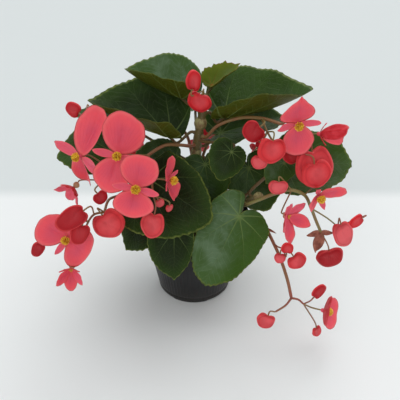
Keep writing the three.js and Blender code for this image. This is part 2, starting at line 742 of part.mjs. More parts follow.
function bloomMeshes({ name, at, facing, lift, spin, size, open, broad, point = 0 }) {
  const tepals = whorl([
    [0, size[0], broad[0], 0.2, point, open[0]],
    [180, size[1], broad[1], 0.2, 0, open[1]],
    [90, size[2], NARROW_TEPAL_WIDTH, 0.6, 0.25, open[2]],
    [-90, size[2], NARROW_TEPAL_WIDTH, 0.6, 0.25, open[2]],
  ]);
  const receptacle = solidOf(new THREE.SphereGeometry(RECEPTACLE_RADIUS, 5, 3)
    .rotateX(Math.PI / 2)
    .translate(0, 0, -RECEPTACLE_DEPTH));
  const group = new THREE.Group();
  group.add(meshOf(name, fuse([receptacle, ...tepals]), 'tepal'));
  const foot = RECEPTACLE_RADIUS - RECEPTACLE_DEPTH + GAP;
  const stamens = turned([
    [0, foot],
    [STAMEN_FOOT_RADIUS, foot],
    [STAMEN_RADIUS, STAMEN_HEIGHT],
    [STAMEN_RADIUS * 0.7, STAMEN_HEIGHT + STAMEN_RADIUS * 0.8],
    [0, STAMEN_HEIGHT + STAMEN_RADIUS],
  ], 6);
  group.add(meshOf(`${name}_stamens`, stamens, 'stamens'));
  group.applyMatrix4(flowerPlace({ at, facing, lift, spin }));
  return group;
}

// A flat bud facing +Z: two broad tepals pressed together, notched at the top where its stalk meets it
function budSolid(size, tall) {
  const radius = size / 2;
  const shares = [0.6, 1];
  const ring = (share, side) => {
    const points = [];
    for (let i = 0; i < BUD_SIDES; i += 1) {
      const angle = (2 * Math.PI * i) / BUD_SIDES;
      const near = Math.min(angle, 2 * Math.PI - angle);
      const reach = radius * share * (1 - BUD_NOTCH * share * Math.exp(-((near / 0.6) ** 2)));
      const rise = side * radius * BUD_FLATNESS * Math.sqrt(1 - share * share);
      points.push([reach * Math.cos(angle) * tall, reach * Math.sin(angle), rise]);
    }
    return points;
  };
  const points = [
    [0, 0, radius * BUD_FLATNESS], ...ring(shares[0], 1), ...ring(1, 1),
    ...ring(shares[0], -1), [0, 0, -radius * BUD_FLATNESS],
  ];
  const bottom = points.length - 1;
  const faces = [];
  for (let i = 0; i < BUD_SIDES; i += 1) {
    const j = (i + 1) % BUD_SIDES;
    faces.push([0, 1 + i, 1 + j], [bottom, bottom - BUD_SIDES + j, bottom - BUD_SIDES + i]);
    for (const start of [1, 1 + BUD_SIDES]) {
      const next = start + BUD_SIDES;
      faces.push([start + i, next + i, next + j], [start + i, next + j, start + j]);
    }
  }
  return solidFrom(points, faces);
}

// A female flower facing +Z: five short tepals, joined at their roots, on a seed case
function femaleFlower(size, open) {
  const outline = [];
  for (let i = 0; i < 5; i += 1) {
    for (const [turn, reach] of [[-36, 0.26], [-20, 0.72], [0, 1], [20, 0.72]]) {
      const angle = (72 * i + turn) * DEGREE;
      outline.push([reach * Math.cos(angle), reach * Math.sin(angle)]);
    }
  }
  const rise = size * Math.sin(open * DEGREE);
  const place = (a, b) => new THREE.Vector3(a * size, b * size, Math.hypot(a, b) * rise);
  const tepals = sheet({ outline, hub: 0, rings: 1, thickness: TEPAL_THICKNESS, place });
  const ovary = solidOf(new THREE.SphereGeometry(OVARY_RADIUS, 5, 4));
  return ovary.scale([1, 1, OVARY_STRETCH]).translate([0, 0, -OVARY_RADIUS]).add(tepals);
}

// A pointed bract from one point to another, its face towards the front
function bractSolid({ at, to, wide }) {
  const chord = vector(to).sub(vector(at));
  const place = leafPlace({ base: at, tip: to, face: [0, -1, 0.3], bend: 0 });
  return blade({
    outline: tepalOutline(6, wide, 0.3, 0.5),
    hub: 0.5,
    length: chord.length(),
    fold: [10, 10],
    curl: 20,
    bend: 0,
    rings: 1,
    thickness: BRACT_THICKNESS,
  }).transform(place.toArray());
}

function sprayMesh({ name, cane, height, branches, blooms, buds, flowers, bracts }) {
  const solids = branches.map(([radius, points], i) => {
    const route = i === 0 ? [...rootOn(cane, height, points[0]), ...points] : points;
    return tube(route, radius, radius < 1.5 ? PEDICEL_SIDES : STALK_SIDES, route.length + (i === 0 ? 1 : 0));
  });
  for (const [bloom, from] of blooms) {
    const place = flowerPlace(BLOOMS.find((row) => row.name === bloom));
    const behind = new THREE.Vector3(0, 0, -PEDICEL_BACK).applyMatrix4(place);
    const end = new THREE.Vector3(0, 0, -RECEPTACLE_DEPTH - RECEPTACLE_RADIUS - GAP).applyMatrix4(place);
    solids.push(tube([from, behind.toArray(), end.toArray()], PEDICEL_RADIUS, PEDICEL_SIDES, 3));
  }
  for (const bud of buds) {
    const place = flowerPlace(bud);
    const top = (bud.size / 2) * bud.tall;
    const above = new THREE.Vector3(top + 2, 0, 0).applyMatrix4(place);
    const end = new THREE.Vector3(top * 0.4, 0, 0).applyMatrix4(place);
    solids.push(budSolid(bud.size, bud.tall).transform(place.toArray()));
    solids.push(tube([bud.from, above.toArray(), end.toArray()], PEDICEL_RADIUS, PEDICEL_SIDES, 2));
  }
  for (const flower of flowers) {
    const place = flowerPlace(flower);
    const behind = new THREE.Vector3(0, 0, -3 * OVARY_RADIUS).applyMatrix4(place);
    const end = new THREE.Vector3(0, 0, -OVARY_STRETCH * OVARY_RADIUS).applyMatrix4(place);
    solids.push(femaleFlower(flower.size, flower.open).transform(place.toArray()));
    solids.push(tube([flower.from, behind.toArray(), end.toArray()], PEDICEL_RADIUS, PEDICEL_SIDES, 2));
  }
  return meshOf(name, fuse([...solids, ...bracts.map(bractSolid)]), 'spray');
}

// The matrix of a tepal in its flower, which faces +Z with its upper tepal along +X
function tepalPlace(angle, tilt) {
  const place = new THREE.Matrix4().makeRotationZ(angle * DEGREE);
  place.multiply(new THREE.Matrix4().makeTranslation(1, 0, 0));
  return place.multiply(new THREE.Matrix4().makeRotationY(-tilt * DEGREE));
}

// The matrix of a flower or bud at a point: Z out of its face, X towards the top of its face
function flowerPlace({ at, facing, lift, spin }) {
  const [heading, rise] = [facing * DEGREE, lift * DEGREE];
  const level = Math.cos(rise);
  const out = vector([level * Math.cos(heading), level * Math.sin(heading), Math.sin(rise)]);
  const top = new THREE.Vector3(0, 0, 1).addScaledVector(out, -out.z).normalize();
  const side = out.clone().cross(top);
  const up = top.multiplyScalar(Math.cos(spin * DEGREE)).addScaledVector(side, Math.sin(spin * DEGREE));
  return new THREE.Matrix4().makeBasis(up, out.clone().cross(up), out).setPosition(vector(at));
}

// The inner radius of the pot's wall at a height
function potInside(height) {
  return mix(POT_BASE_RADIUS, POT_WALL_RADIUS, height / (POT_HEIGHT - POT_RIM_HEIGHT)) - POT_WALL;
}

function potMesh() {
  const ledge = POT_HEIGHT - POT_RIM_HEIGHT;
  const shell = turned([
    [0, 0],
    [POT_BASE_RADIUS, 0],
    [POT_WALL_RADIUS, ledge],
    [POT_RIM_RADIUS, ledge],
    [POT_RIM_RADIUS, POT_HEIGHT],
    [POT_RIM_RADIUS - POT_WALL, POT_HEIGHT],
    [POT_RIM_RADIUS - POT_WALL, ledge + POT_WALL],
    [potInside(ledge), ledge],
    [potInside(POT_FLOOR), POT_FLOOR],
    [0, POT_FLOOR],
  ], POT_SIDES);
  const cuts = [];
  for (let i = 0; i < DRAIN_COUNT; i += 1) {
    const angle = (2 * Math.PI * i) / DRAIN_COUNT;
    cuts.push(solidOf(new THREE.CylinderGeometry(DRAIN_RADIUS, DRAIN_RADIUS, 4 * POT_FLOOR, 8)
      .rotateX(Math.PI / 2)
      .translate(DRAIN_CIRCLE * Math.cos(angle), DRAIN_CIRCLE * Math.sin(angle), 0)));
  }
  for (let i = 0; i < FOOT_GAPS; i += 1) {
    const heading = (FOOT_GAP_HEADING + (360 * i) / FOOT_GAPS) * DEGREE;
    cuts.push(solidOf(new THREE.BoxGeometry(4 * FOOT_GAP_DEPTH, FOOT_GAP_WIDTH, 2 * FOOT_GAP_HEIGHT)
      .translate(POT_BASE_RADIUS + FOOT_GAP_DEPTH, 0, 0)
      .rotateZ(heading)));
  }
  return meshOf('pot', shell.subtract(fuse(cuts)), 'pot');
}

function soilMesh() {
  const low = POT_FLOOR + GAP;
  const hole = CROWN_RADIUS + 2 * GAP;
  return meshOf('soil', turned([
    [0, low],
    [potInside(low) - 2 * GAP, low],
    [potInside(SOIL_LEVEL) - 2 * GAP, SOIL_LEVEL],
    [hole, SOIL_LEVEL + SOIL_DOME],
    [hole, SOIL_LEVEL - CROWN_DEPTH - GAP],
    [0, SOIL_LEVEL - CROWN_DEPTH - GAP],
  ], POT_SIDES), 'soil');
}

function stemMesh() {
  const crown = turned([
    [0, SOIL_LEVEL - CROWN_DEPTH],
    [CROWN_RADIUS, SOIL_LEVEL - CROWN_DEPTH],
    [CROWN_RADIUS, SOIL_LEVEL],
    [CROWN_RADIUS * 0.7, CROWN_TOP - 2],
    [0, CROWN_TOP],
  ], 12);
  const canes = Object.values(CANES).map(({ radius, points }) => (
    tube(points, radius, STEM_SIDES, 2 * points.length)
  ));
  const stipules = STIPULES.map(([cane, height, half, wide]) => {
    const { middle, along } = caneAt(cane, height);
    const turn = new THREE.Quaternion().setFromUnitVectors(new THREE.Vector3(0, 0, 1), along);
    const place = new THREE.Matrix4().compose(middle, turn, new THREE.Vector3(wide, wide, half));
    return solidOf(new THREE.SphereGeometry(1, 7, 5).applyMatrix4(place));
  });
  return meshOf('stem', fuse([crown, ...canes, ...stipules]), 'stem');
}

const plant = new THREE.Group();
plant.add(stemMesh(), ...LEAVES.map(leafMesh), ...SPRAYS.map(sprayMesh), ...BLOOMS.map(bloomMeshes));

const potted = new THREE.Group();
potted.add(potMesh(), soilMesh(), plant);

export default potted;
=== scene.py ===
import math

import bpy
import numpy as np
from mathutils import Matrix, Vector


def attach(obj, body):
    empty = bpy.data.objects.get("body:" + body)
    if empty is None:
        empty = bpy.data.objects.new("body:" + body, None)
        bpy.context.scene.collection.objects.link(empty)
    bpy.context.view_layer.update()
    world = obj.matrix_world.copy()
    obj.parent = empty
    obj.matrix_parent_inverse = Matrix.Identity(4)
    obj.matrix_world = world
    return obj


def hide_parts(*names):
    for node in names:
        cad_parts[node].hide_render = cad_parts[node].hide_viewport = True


# A potted begonia: cane stems with winged leaves and coral flowers, in a plain black nursery pot.
# Sizes are in millimetres until a piece's mesh is made, which is in metres. +Z is up, the plant's
# front faces -Y, and every shape is worked out in the place of the solid that it stands for.
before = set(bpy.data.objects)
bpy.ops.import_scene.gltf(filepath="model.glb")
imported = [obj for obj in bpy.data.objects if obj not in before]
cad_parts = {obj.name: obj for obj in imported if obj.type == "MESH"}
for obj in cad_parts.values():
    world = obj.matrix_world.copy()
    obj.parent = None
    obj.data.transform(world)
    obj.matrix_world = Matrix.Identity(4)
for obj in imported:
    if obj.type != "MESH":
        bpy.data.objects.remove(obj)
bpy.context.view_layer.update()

MM = 0.001
SEED = 11

# Pot
POT_HEIGHT = 104
POT_BASE_RADIUS = 44
POT_WALL_RADIUS = 59.5
POT_RIM_RADIUS = 64.5
POT_RIM_HEIGHT = 12
POT_WALL = 1.6
POT_FLOOR = 4
# Low gaps under the edge of the base: their number, half width in degrees, height, how far they reach
# in, and the heading of the first one's middle
FOOT_GAPS = 4
FOOT_GAP_HALF = 16.5
FOOT_GAP_HEIGHT = 2.2
FOOT_GAP_DEPTH = 3
FOOT_GAP_HEADING = -51
DRAIN_RADIUS = 4.5
DRAIN_CIRCLE = 27
DRAIN_COUNT = 5
POT_COLUMNS = 160
POT_RIBS = 72

# Soil and the plant's crown in it
SOIL_LEVEL = 90
SOIL_DOME = 3
CROWN_RADIUS = 17
CROWN_DEPTH = 16
CROWN_TOP = 97
CRUMBS = 900

# Clearance between two pieces that touch
GAP = 0.3

# Leaves
LEAF_THICKNESS = 0.8
CREASE = 0.04
LEAF_ROWS = 24
# Heights of a leaf's small forms in its own lengths: scallops of its outline, panels that swell between
# its veins, puckers between its side veins, and the long and short waves of its rim
LEAF_SCALLOP = 0.016
LEAF_QUILT = 0.009
LEAF_PUCKER = 0.0016
LEAF_RIPPLE = 0.02
RIM_RIPPLE = 0.009
LEAF_WAVES = 5
# Teeth on a leaf's rim: their height in millimetres, their number per millimetre of its length, and how
# much deeper they and the scallops are on a young leaf
TOOTH_HEIGHT = 0.75
TEETH_PER_MM = 0.75
YOUNG_RAGGED = 2.4
# How light and fresh a leaf's green is, from 0 to 1, where it isn't the usual one. The tone also sets how
# strong the leaf's painted sheen is, and the low tones of the lower leaves are partly painted shade
LEAF_TONE_AND_PAINTED_LIGHT = 0.45
LEAF_TONES_AND_PAINTED_LIGHT = {
    "leaf_front_left": 0.0,
    "leaf_front_low": 0.05,
    "leaf_left_low": 0.0,
    "leaf_back_left": 0.15,
    "leaf_front_big": 1.0,
    "leaf_front_small": 0.1,
    "leaf_right_out": 0.7,
    "leaf_right_small": 0.6,
    "leaf_crown_left": 1.0,
}
PETIOLE_RADIUS = 1.8
# The last points of a petiole, seen from the blade's base with X along its midrib
PETIOLE_END = [[-9, 0, -6], [-3, 0, -3], [1, 0, -1]]
# Main veins fan out from the petiole at this angle, and bow towards the tip
VEIN_ANGLE = math.radians(40)
VEIN_BOW = 0.35
# Side veins leave the main ones at this step, in leaf lengths, and gain this much on them outwards
VEIN_STEP = 0.085
VEIN_SLANT = 0.85

# Flowers
RECEPTACLE_RADIUS = 2.2
RECEPTACLE_DEPTH = 1
STAMEN_RADIUS = 4.6
STAMEN_HEIGHT = 5.8
ANTHERS = 44
OVARY_RADIUS = 3
OVARY_LENGTH = 7.5
NARROW_TEPAL_WIDTH = 0.5
TEPAL_THICKNESS = 0.5
TEPAL_CURL = 15
TEPAL_BEND = -10
PEDICEL_RADIUS = 0.9
# How far behind a flower's middle its pedicel turns square to it
PEDICEL_BACK = 11
BUD_FLATNESS = 0.3
BUD_NOTCH = 0.35
BUD_LIP = 0.05
# How pale and pink each of a spray's buds is, from 0 for deep red to 1
BUD_TONES = {
    "spray_left": [0.2, 0.15, 0.9, 0.8, 0.6],
    "spray_left_low": [0.55, 0.1, 0.15, 0.1],
    "spray_top": [0.35, 0.3],
    "spray_right": [0.1, 0.45, 0.2, 0.75, 0.5, 0.55],
    "spray_right_low": [0.85, 1.0, 0.35, 0.1],
    "spray_front": [0.7, 0.2, 0.6, 0.55, 0.3, 0.75],
}
# How far the right and left halves of a flower's broad tepals fold forward, where they do
TEPAL_FOLDS = {"bloom_left_out": (20, 22), "bloom_right_side": (14, 18), "bloom_left_edge": (12, 12)}
# How far the tip of a flower's upper tepal is drawn out, where it is
TEPAL_POINTS = {"bloom_right_top": 0.7}
# Waves of a broad or narrow tepal's rim, in its plane and out of it, and of a bud's outline, cheeks and
# whole form: [height, number, shift]
TEPAL_FRILLS = [[0.028, 2, 23], [0.018, 5, 9], [0.008, 11, 4]]
TEPAL_WAVES = [[0.032, 3, 17], [0.015, 7, 5]]
BUD_SWINGS = [[0.04, 2, 20], [0.022, 5, 9]]
BUD_CHEEKS = [[0.16, 3, 15]]
BUD_TWIST = [[0.06, 2, 11]]
BROAD_COLUMNS = 52
NARROW_COLUMNS = 28
# The lengths of a female flower's five tepals, as shares of its size
FEMALE_REACH = [0.88, 1.04, 1.1, 0.98, 0.84]
# Narrow tepals have tints above this
NARROW_TINT = 0.7
# How olive rather than reddish brown a spray's stalks are, from 0 to 1
STALK_TONE = 0.3
STALK_TONES = {
    "spray_right": 0.6,
    "spray_right_low": 1.0,
    "spray_top": 0.8,
    "spray_back_right": 0.6,
    "spray_front": 0.1,
}

# A leaf's outline: [degrees from the tip, distance from the petiole as a share of its length]
LEAF_RADIUS = [
    [0, 1], [12, 0.9], [32, 0.775], [60, 0.64], [90, 0.56], [120, 0.47], [145, 0.37], [163, 0.29], [180, 0.1]
]

# The canes: the radius of each one and the points on its middle line
CANES = {
    "main": dict(
        radius=4.6,
        points=[[0, 3, 84], [-1, 5, 120], [2, 4, 155], [4, 2, 188], [9, 2, 220], [12, 3, 246]],
    ),
    "right": dict(
        radius=3.6, points=[[7, -6, 84], [11, -10, 100], [28, -24, 118], [48, -35, 134], [72, -40, 150]],
    ),
    "left": dict(radius=3.4, points=[[-7, -4, 84], [-10, -7, 100], [-24, -18, 122], [-38, -26, 146]]),
}

# The papery swellings on the canes: [cane, height, half length, half width]
STIPULES = [
    ["main", 214, 9, 6.6],
    ["main", 180, 7, 6],
    ["right", 148, 6, 5],
]

# Leaves. base is where the blade meets its petiole, tip is its point, and face is the way its upper side
# looks. bend turns the midrib down along its length, fold raises the left and right halves from it, and
# curl adds to that towards the edge, in degrees. skew widens the left half over the right, wide scales
# both, lobes is how long the left and right lobes beside the petiole are, and full rounds the sides out.
LEAVES = [
    dict(
        name="leaf_crown_left", cane="main", height=234, base=[-12, 16, 238], tip=[-71, 22, 266],
        face=[0, 0, 1], bend=-22, fold=[45, 46], curl=20, skew=-0.15, wide=1.03, lobes=[0.6, 0.85],
    ),
    dict(
        name="leaf_back_left", cane="main", height=203, base=[-25, -2, 201], tip=[-110, 4, 238],
        face=[0, 0, 1], bend=-22, fold=[36, 40], curl=20, skew=-0.15, wide=1.08, lobes=[0.4, 0.4],
    ),
    dict(
        name="leaf_crown_right", cane="main", height=226, base=[34, 8, 219], tip=[127, 20, 245],
        face=[0, 0, 1], bend=-30, fold=[34, 36], curl=18, skew=0.05, wide=1.1, lobes=[0.5, 0.5],
    ),
    dict(
        name="leaf_young", cane="main", height=240, base=[20, 18, 250], tip=[48, 30, 268],
        face=[-4, -3, 8], bend=-10, fold=[40, 30], curl=30, skew=0, wide=0.9, lobes=[0.5, 0.5],
        look="young",
    ),
    dict(
        name="leaf_right_low", cane="main", height=187, base=[30, 10, 199], tip=[102, 26, 211],
        face=[0, -2, 9], bend=10, fold=[18, 15], curl=10, skew=0, wide=0.8, lobes=[0.5, 0.55],
    ),
    dict(
        name="leaf_front_small", cane="main", height=197, base=[39, -42, 202], tip=[27, -60, 179],
        face=[1, -8, 6], bend=5, fold=[5, 5], curl=10, skew=-0.15, wide=1.04, lobes=[0.95, 1.05],
    ),
    dict(
        name="leaf_front_left", cane="left", height=138, base=[-44, -42, 170], tip=[20, -84, 148],
        face=[-1, -6, 7], bend=10, fold=[5, 5], curl=12, skew=-0.22, wide=1, lobes=[0.4, 0.4],
    ),
    dict(
        name="leaf_front_big", cane="right", height=122, base=[48, -59, 136], tip=[11, -86, 67],
        face=[1, -8, 4], bend=8, fold=[8, 8], curl=18, skew=0, wide=0.61, lobes=[0.2, 0.95], full=0.24,
    ),
    dict(
        name="leaf_front_low", cane="left", height=112, base=[-19, -74, 128], tip=[-20, -87, 75],
        face=[0, -8, 3], bend=8, fold=[5, 5], curl=14, skew=-0.15, wide=0.76, lobes=[0.8, 0.8],
    ),
    dict(
        name="leaf_left_low", cane="left", height=120, base=[-48, -29, 124], tip=[-75, -46, 83],
        face=[-4, -7, 5], bend=20, fold=[5, 5], curl=15, skew=0.1, wide=1, lobes=[0.6, 0.6],
    ),
    dict(
        name="leaf_left_mid", cane="main", height=162, base=[-22, -4, 174], tip=[-64, -14, 182],
        face=[0, -5, 8], bend=20, fold=[10, 10], curl=15, skew=0, wide=0.9, lobes=[0.6, 0.6],
    ),
    dict(
        name="leaf_left_out", cane="left", height=144, base=[-90, -4, 185], tip=[-143, -22, 185],
        face=[-2, -6, 7], bend=15, fold=[10, 10], curl=15, skew=0, wide=1, lobes=[0.8, 0.8],
    ),
    dict(
        name="leaf_left_far", cane="main", height=168, base=[-76, 14, 212], tip=[-128, 4, 222],
        face=[0, -2, 9], bend=15, fold=[10, 10], curl=15, skew=0, wide=0.7, lobes=[0.5, 0.5],
    ),
    dict(
        name="leaf_mid_a", cane="main", height=160, base=[13, -14, 173], tip=[20, -36, 135],
        face=[-1, -7, 7], bend=15, fold=[12, 12], curl=15, skew=0, wide=1.1, lobes=[0.9, 0.9],
    ),
    dict(
        name="leaf_mid_b", cane="main", height=154, base=[62, 2, 160], tip=[83, -20, 117],
        face=[1, -7, 7], bend=15, fold=[12, 12], curl=15, skew=0, wide=1.15, lobes=[0.9, 0.9],
    ),
    dict(
        name="leaf_right_out", cane="right", height=138, base=[101, -14, 174], tip=[166, -26, 180],
        face=[0, -4, 6], bend=15, fold=[10, 0], curl=8, skew=0, wide=0.8, lobes=[0.6, 0.6], full=0.24,
    ),
    dict(
        name="leaf_right_small", cane="right", height=144, base=[95, -30, 183], tip=[76, -42, 166],
        face=[0, -7, 6], bend=15, fold=[12, 12], curl=15, skew=0, wide=1, lobes=[0.8, 0.8],
    ),
    dict(
        name="leaf_back_high", cane="main", height=196, base=[2, 54, 212], tip=[0, 112, 202],
        face=[0, 2, 9], bend=25, fold=[12, 12], curl=15, skew=0.1, wide=1, lobes=[0.8, 0.8],
    ),
    dict(
        name="leaf_back_right", cane="main", height=192, base=[50, 36, 192], tip=[108, 62, 188],
        face=[0, 1, 9], bend=25, fold=[12, 12], curl=15, skew=0.1, wide=0.85, lobes=[0.8, 0.8],
    ),
    dict(
        name="leaf_back_mid", cane="main", height=140, base=[-4, 34, 142], tip=[-8, 102, 108],
        face=[0, 5, 8], bend=25, fold=[8, 8], curl=15, skew=0.1, wide=0.85, lobes=[0.8, 0.8],
    ),
    dict(
        name="leaf_back_low_left", cane="main", height=120, base=[-38, 22, 128], tip=[-86, 62, 96],
        face=[-3, 3, 8], bend=25, fold=[8, 8], curl=15, skew=0.1, wide=0.9, lobes=[0.8, 0.8],
    ),
    dict(
        name="leaf_back_low_right", cane="main", height=128, base=[50, 24, 130], tip=[100, 58, 100],
        face=[3, 3, 8], bend=25, fold=[8, 8], curl=15, skew=0.1, wide=0.9, lobes=[0.8, 0.8],
    ),
]

# Male flowers: the place of each one's middle; where it faces, how far it looks up, and how far its upper
# tepal turns to the left as seen from its front; the lengths of its upper, lower and narrow tepals; how
# far each of these leans forward; and the widths of the upper and lower ones in their own lengths.
BLOOMS = {
    "bloom_left_top": [[-68, -80, 217], [-92, 22, -15], [41, 34, 23], [8, 8, 15], [1.05, 1.05]],
    "bloom_left_low": [[-50, -104, 196], [-88, 22, -14], [33, 26, 22], [10, 20, 15], [1.12, 1.5]],
    "bloom_left_out": [[-108, -60, 206], [-128, 15, -11], [52, 36, 34], [-22, -36, 4], [0.75, 0.95]],
    "bloom_left_edge": [[-23, -74, 188], [-20, 5, 10], [26, 22, 16], [5, 5, 10], [1.1, 1.1]],
    "bloom_left_drop": [[-121, -99, 137], [-100, 15, 56], [31, 27, 19], [10, 8, 20], [1.35, 1.75]],
    "bloom_right_top": [[99, -53, 237], [-78, -5, 6], [33, 31, 22], [12, 6, 10], [1.65, 1.1]],
    "bloom_right_side": [[126, -36, 219], [-10, 2, 50], [32, 31, 13], [46, 48, 26], [0.55, 0.6]],
    "bloom_right_nod": [[126, -66, 166], [-75, -15, -64], [26, 19, 18], [15, 35, 15], [0.75, 0.8]],
    "bloom_front_low": [[134, -116, 58], [-20, 0, 38], [20, 24, 14], [14, 32, 15], [1.6, 1.5]],
    "bloom_back_left": [[-52, 78, 186], [120, 20, 10], [34, 32, 22], [12, 18, 20], [1.15, 1.15]],
    "bloom_back_right": [[62, 84, 178], [70, 15, -15], [34, 32, 22], [12, 18, 20], [1.15, 1.15]],
    "bloom_back_low": [[14, 104, 146], [95, 10, 30], [30, 28, 20], [15, 20, 25], [1.15, 1.15]],
}

# Sprays. Each is a stalk from a cane with its branches, [radius, points], and what they carry: the blooms
# above, each from a point; flat buds, [start, middle, aim, width, height as a share of the width];
# female flowers, [start, middle, aim, size, degrees open]; and bracts, [start, tip, width as a share].
SPRAYS = [
    dict(
        name="spray_left", cane="main", height=190,
        branches=[
            [2, [[-13, -20, 199], [-28, -33, 205], [-44, -45, 200], [-58, -56, 190]]],
            [1.2, [[-58, -56, 190], [-76, -54, 184], [-92, -46, 172]]],
            [1.2, [[-44, -45, 200], [-40, -66, 184], [-38, -76, 172]]],
            [1, [[-76, -54, 184], [-80, -30, 206], [-105, -16, 242]]],
        ],
        blooms=dict(
            bloom_left_top=[-44, -45, 200], bloom_left_low=[-40, -66, 184],
            bloom_left_out=[-76, -54, 184], bloom_left_edge=[-40, -66, 184],
        ),
        buds=[
            [[-105, -16, 242], [-114, -38, 245], [-95, 15, -120], 14, 1.25],
            [[-76, -54, 184], [-88, -84, 175], [-80, 20, 30], 15, 0.9],
            [[-38, -76, 172], [-31, -88, 171], [-70, 10, 20], 9, 1.1],
            [[-38, -76, 172], [-22, -86, 164], [-60, 0, 0], 8, 1.1],
            [[-38, -76, 172], [-37, -106, 159], [-88, 20, -12], 22, 1.3],
        ],
        flowers=[
            [[-92, -46, 172], [-121, -52, 167], [-130, -30, 0], 18, 30],
        ],
    ),
    dict(
        name="spray_left_low", cane="left", height=130,
        branches=[
            [1.6, [[-59, -30, 146], [-80, -58, 159], [-83, -76, 165], [-84, -92, 163]]],
            [1.2, [[-84, -92, 163], [-93, -96, 163], [-99, -98, 156], [-105, -98, 141]]],
            [1, [[-105, -98, 141], [-114, -94, 126], [-119, -94, 114]]],
            [1, [[-99, -98, 156], [-118, -84, 152], [-138, -84, 142]]],
        ],
        blooms=dict(bloom_left_drop=[-105, -98, 141]),
        buds=[
            [[-84, -92, 163], [-80, -98, 154], [-85, 15, 30], 30, 1.08],
            [[-93, -96, 163], [-109, -112, 170], [-80, 30, -62], 21, 1.6],
            [[-99, -98, 156], [-104, -114, 154], [-70, 15, -25], 18, 1.3],
            [[-138, -84, 142], [-155, -92, 119], [-90, 10, -30], 13, 1.5],
        ],
        flowers=[
            [[-119, -94, 114], [-120, -108, 106], [-85, -15, 30], 17, 45],
        ],
    ),
    dict(
        name="spray_top", cane="main", height=241,
        branches=[
            [1.5, [[11, -4, 252]]],
        ],
        buds=[
            [[11, -4, 252], [7, -13, 244], [-85, 15, -20], 26, 0.8],
            [[11, -4, 252], [1, -12, 264], [-60, 15, 160], 17, 1.35],
        ],
    ),
    dict(
        name="spray_right", cane="main", height=201,
        branches=[
            [2, [[26, -9, 216], [47, -13, 226], [69, -28, 232], [87, -40, 231]]],
            [1.2, [[69, -28, 232], [73, -42, 224], [82, -46, 212], [100, -46, 202]]],
            [1, [[73, -42, 224], [68, -50, 216], [66, -54, 210]]],
        ],
        blooms=dict(bloom_right_top=[87, -40, 231], bloom_right_side=[87, -40, 231]),
        buds=[
            [[69, -28, 232], [59, -50, 228], [-95, 20, -50], 23, 0.9],
            [[73, -42, 224], [75, -67, 217], [-80, 20, -10], 28, 0.95],
            [[82, -46, 212], [100, -36, 195], [-70, 20, -40], 20, 0.9],
            [[66, -54, 210], [65, -61, 201], [-100, 10, 0], 17, 0.9],
            [[100, -46, 202], [121, -64, 190], [-85, 20, 15], 30, 1],
            [[100, -46, 202], [121, -52, 192], [-80, 20, 10], 38, 1.22],
        ],
    ),
    dict(
        name="spray_right_low", cane="right", height=140,
        branches=[
            [2, [
                [84, -56, 162], [98, -66, 172], [111, -67, 167], [121, -62, 148], [129, -59, 130],
                [136, -57, 115],
            ]],
            [0.9, [[121, -62, 148], [142, -54, 130], [155, -52, 118]]],
        ],
        blooms=dict(bloom_right_nod=[111, -67, 167]),
        buds=[
            [[98, -66, 172], [84, -70, 178], [-85, 20, -5], 19, 0.85],
            [[155, -52, 118], [159, -60, 115], [-80, 15, 15], 23, 1.4],
            [[155, -52, 118], [174, -52, 125], [-70, 20, -72], 13, 1.7],
            [[136, -57, 115], [149, -62, 85], [-90, 5, 15], 31, 0.82],
        ],
        flowers=[
            [[98, -66, 172], [95, -78, 149], [-52, 5, 20], 24, 20],
        ],
        bracts=[
            [[136, -57, 115], [121, -60, 111], 0.7],
            [[136, -57, 115], [133, -62, 89], 0.7],
            [[136, -57, 115], [149, -60, 115], 0.7],
        ],
    ),
    dict(
        name="spray_front", cane="right", height=132,
        branches=[
            [2, [
                [68, -48, 130], [77, -57, 120], [83, -70, 113], [90, -88, 103], [96, -106, 89],
                [99, -118, 77],
            ]],
            [1.2, [[99, -118, 77], [94, -118, 67], [84, -120, 60]]],
            [1.2, [[99, -118, 77], [106, -118, 75], [112, -118, 69]]],
            [0.9, [[83, -70, 113], [86, -84, 116], [91, -93, 120]]],
        ],
        blooms=dict(bloom_front_low=[112, -118, 69]),
        buds=[
            [[84, -120, 60], [75, -122, 50], [-90, 15, -20], 20, 0.9],
            [[112, -118, 69], [125, -119, 86], [-70, 10, 130], 13, 1.5],
            [[112, -118, 69], [133, -110, 22], [-60, 10, 10], 12, 1.3],
            [[91, -93, 120], [104, -100, 110], [-85, 15, 35], 19, 1],
            [[91, -93, 120], [93, -101, 126], [-80, 15, 170], 13, 1],
            [[91, -93, 120], [87, -100, 114], [-100, 15, 0], 12, 1],
        ],
        bracts=[
            [[77, -57, 120], [72, -66, 124], 0.35],
            [[77, -57, 120], [88, -62, 116], 0.35],
        ],
    ),
    dict(
        name="spray_back_left", cane="main", height=167,
        branches=[
            [2, [[-8, 30, 188], [-24, 50, 194], [-40, 62, 192]]],
            [1.2, [[-40, 62, 192], [-60, 64, 180], [-76, 66, 166]]],
        ],
        blooms=dict(bloom_back_left=[-40, 62, 192]),
        buds=[
            [[-76, 66, 166], [-88, 74, 156], [130, 10, 10], 24, 0.9],
        ],
        flowers=[
            [[-76, 66, 166], [-72, 78, 146], [120, -20, 0], 17, 25],
        ],
    ),
    dict(
        name="spray_back_right", cane="main", height=156,
        branches=[
            [2, [[16, 28, 176], [34, 52, 184], [48, 68, 182]]],
            [1.2, [[34, 52, 184], [28, 74, 172], [18, 88, 158]]],
            [1.2, [[48, 68, 182], [70, 66, 172], [84, 66, 158]]],
        ],
        blooms=dict(bloom_back_right=[48, 68, 182], bloom_back_low=[18, 88, 158]),
        buds=[
            [[84, 66, 158], [94, 74, 148], [50, 10, 0], 26, 0.9],
        ],
        flowers=[
            [[84, 66, 158], [80, 84, 142], [60, -20, 0], 17, 25],
        ],
    ),
]

rng = np.random.default_rng(SEED)


# Arrays


def unit(vectors):
    """Each vector divided by its length."""
    return vectors / np.linalg.norm(vectors, axis=-1, keepdims=True)


def circle(count):
    """Equal steps of angle round a circle."""
    return np.linspace(0, 2 * math.pi, count, endpoint=False)


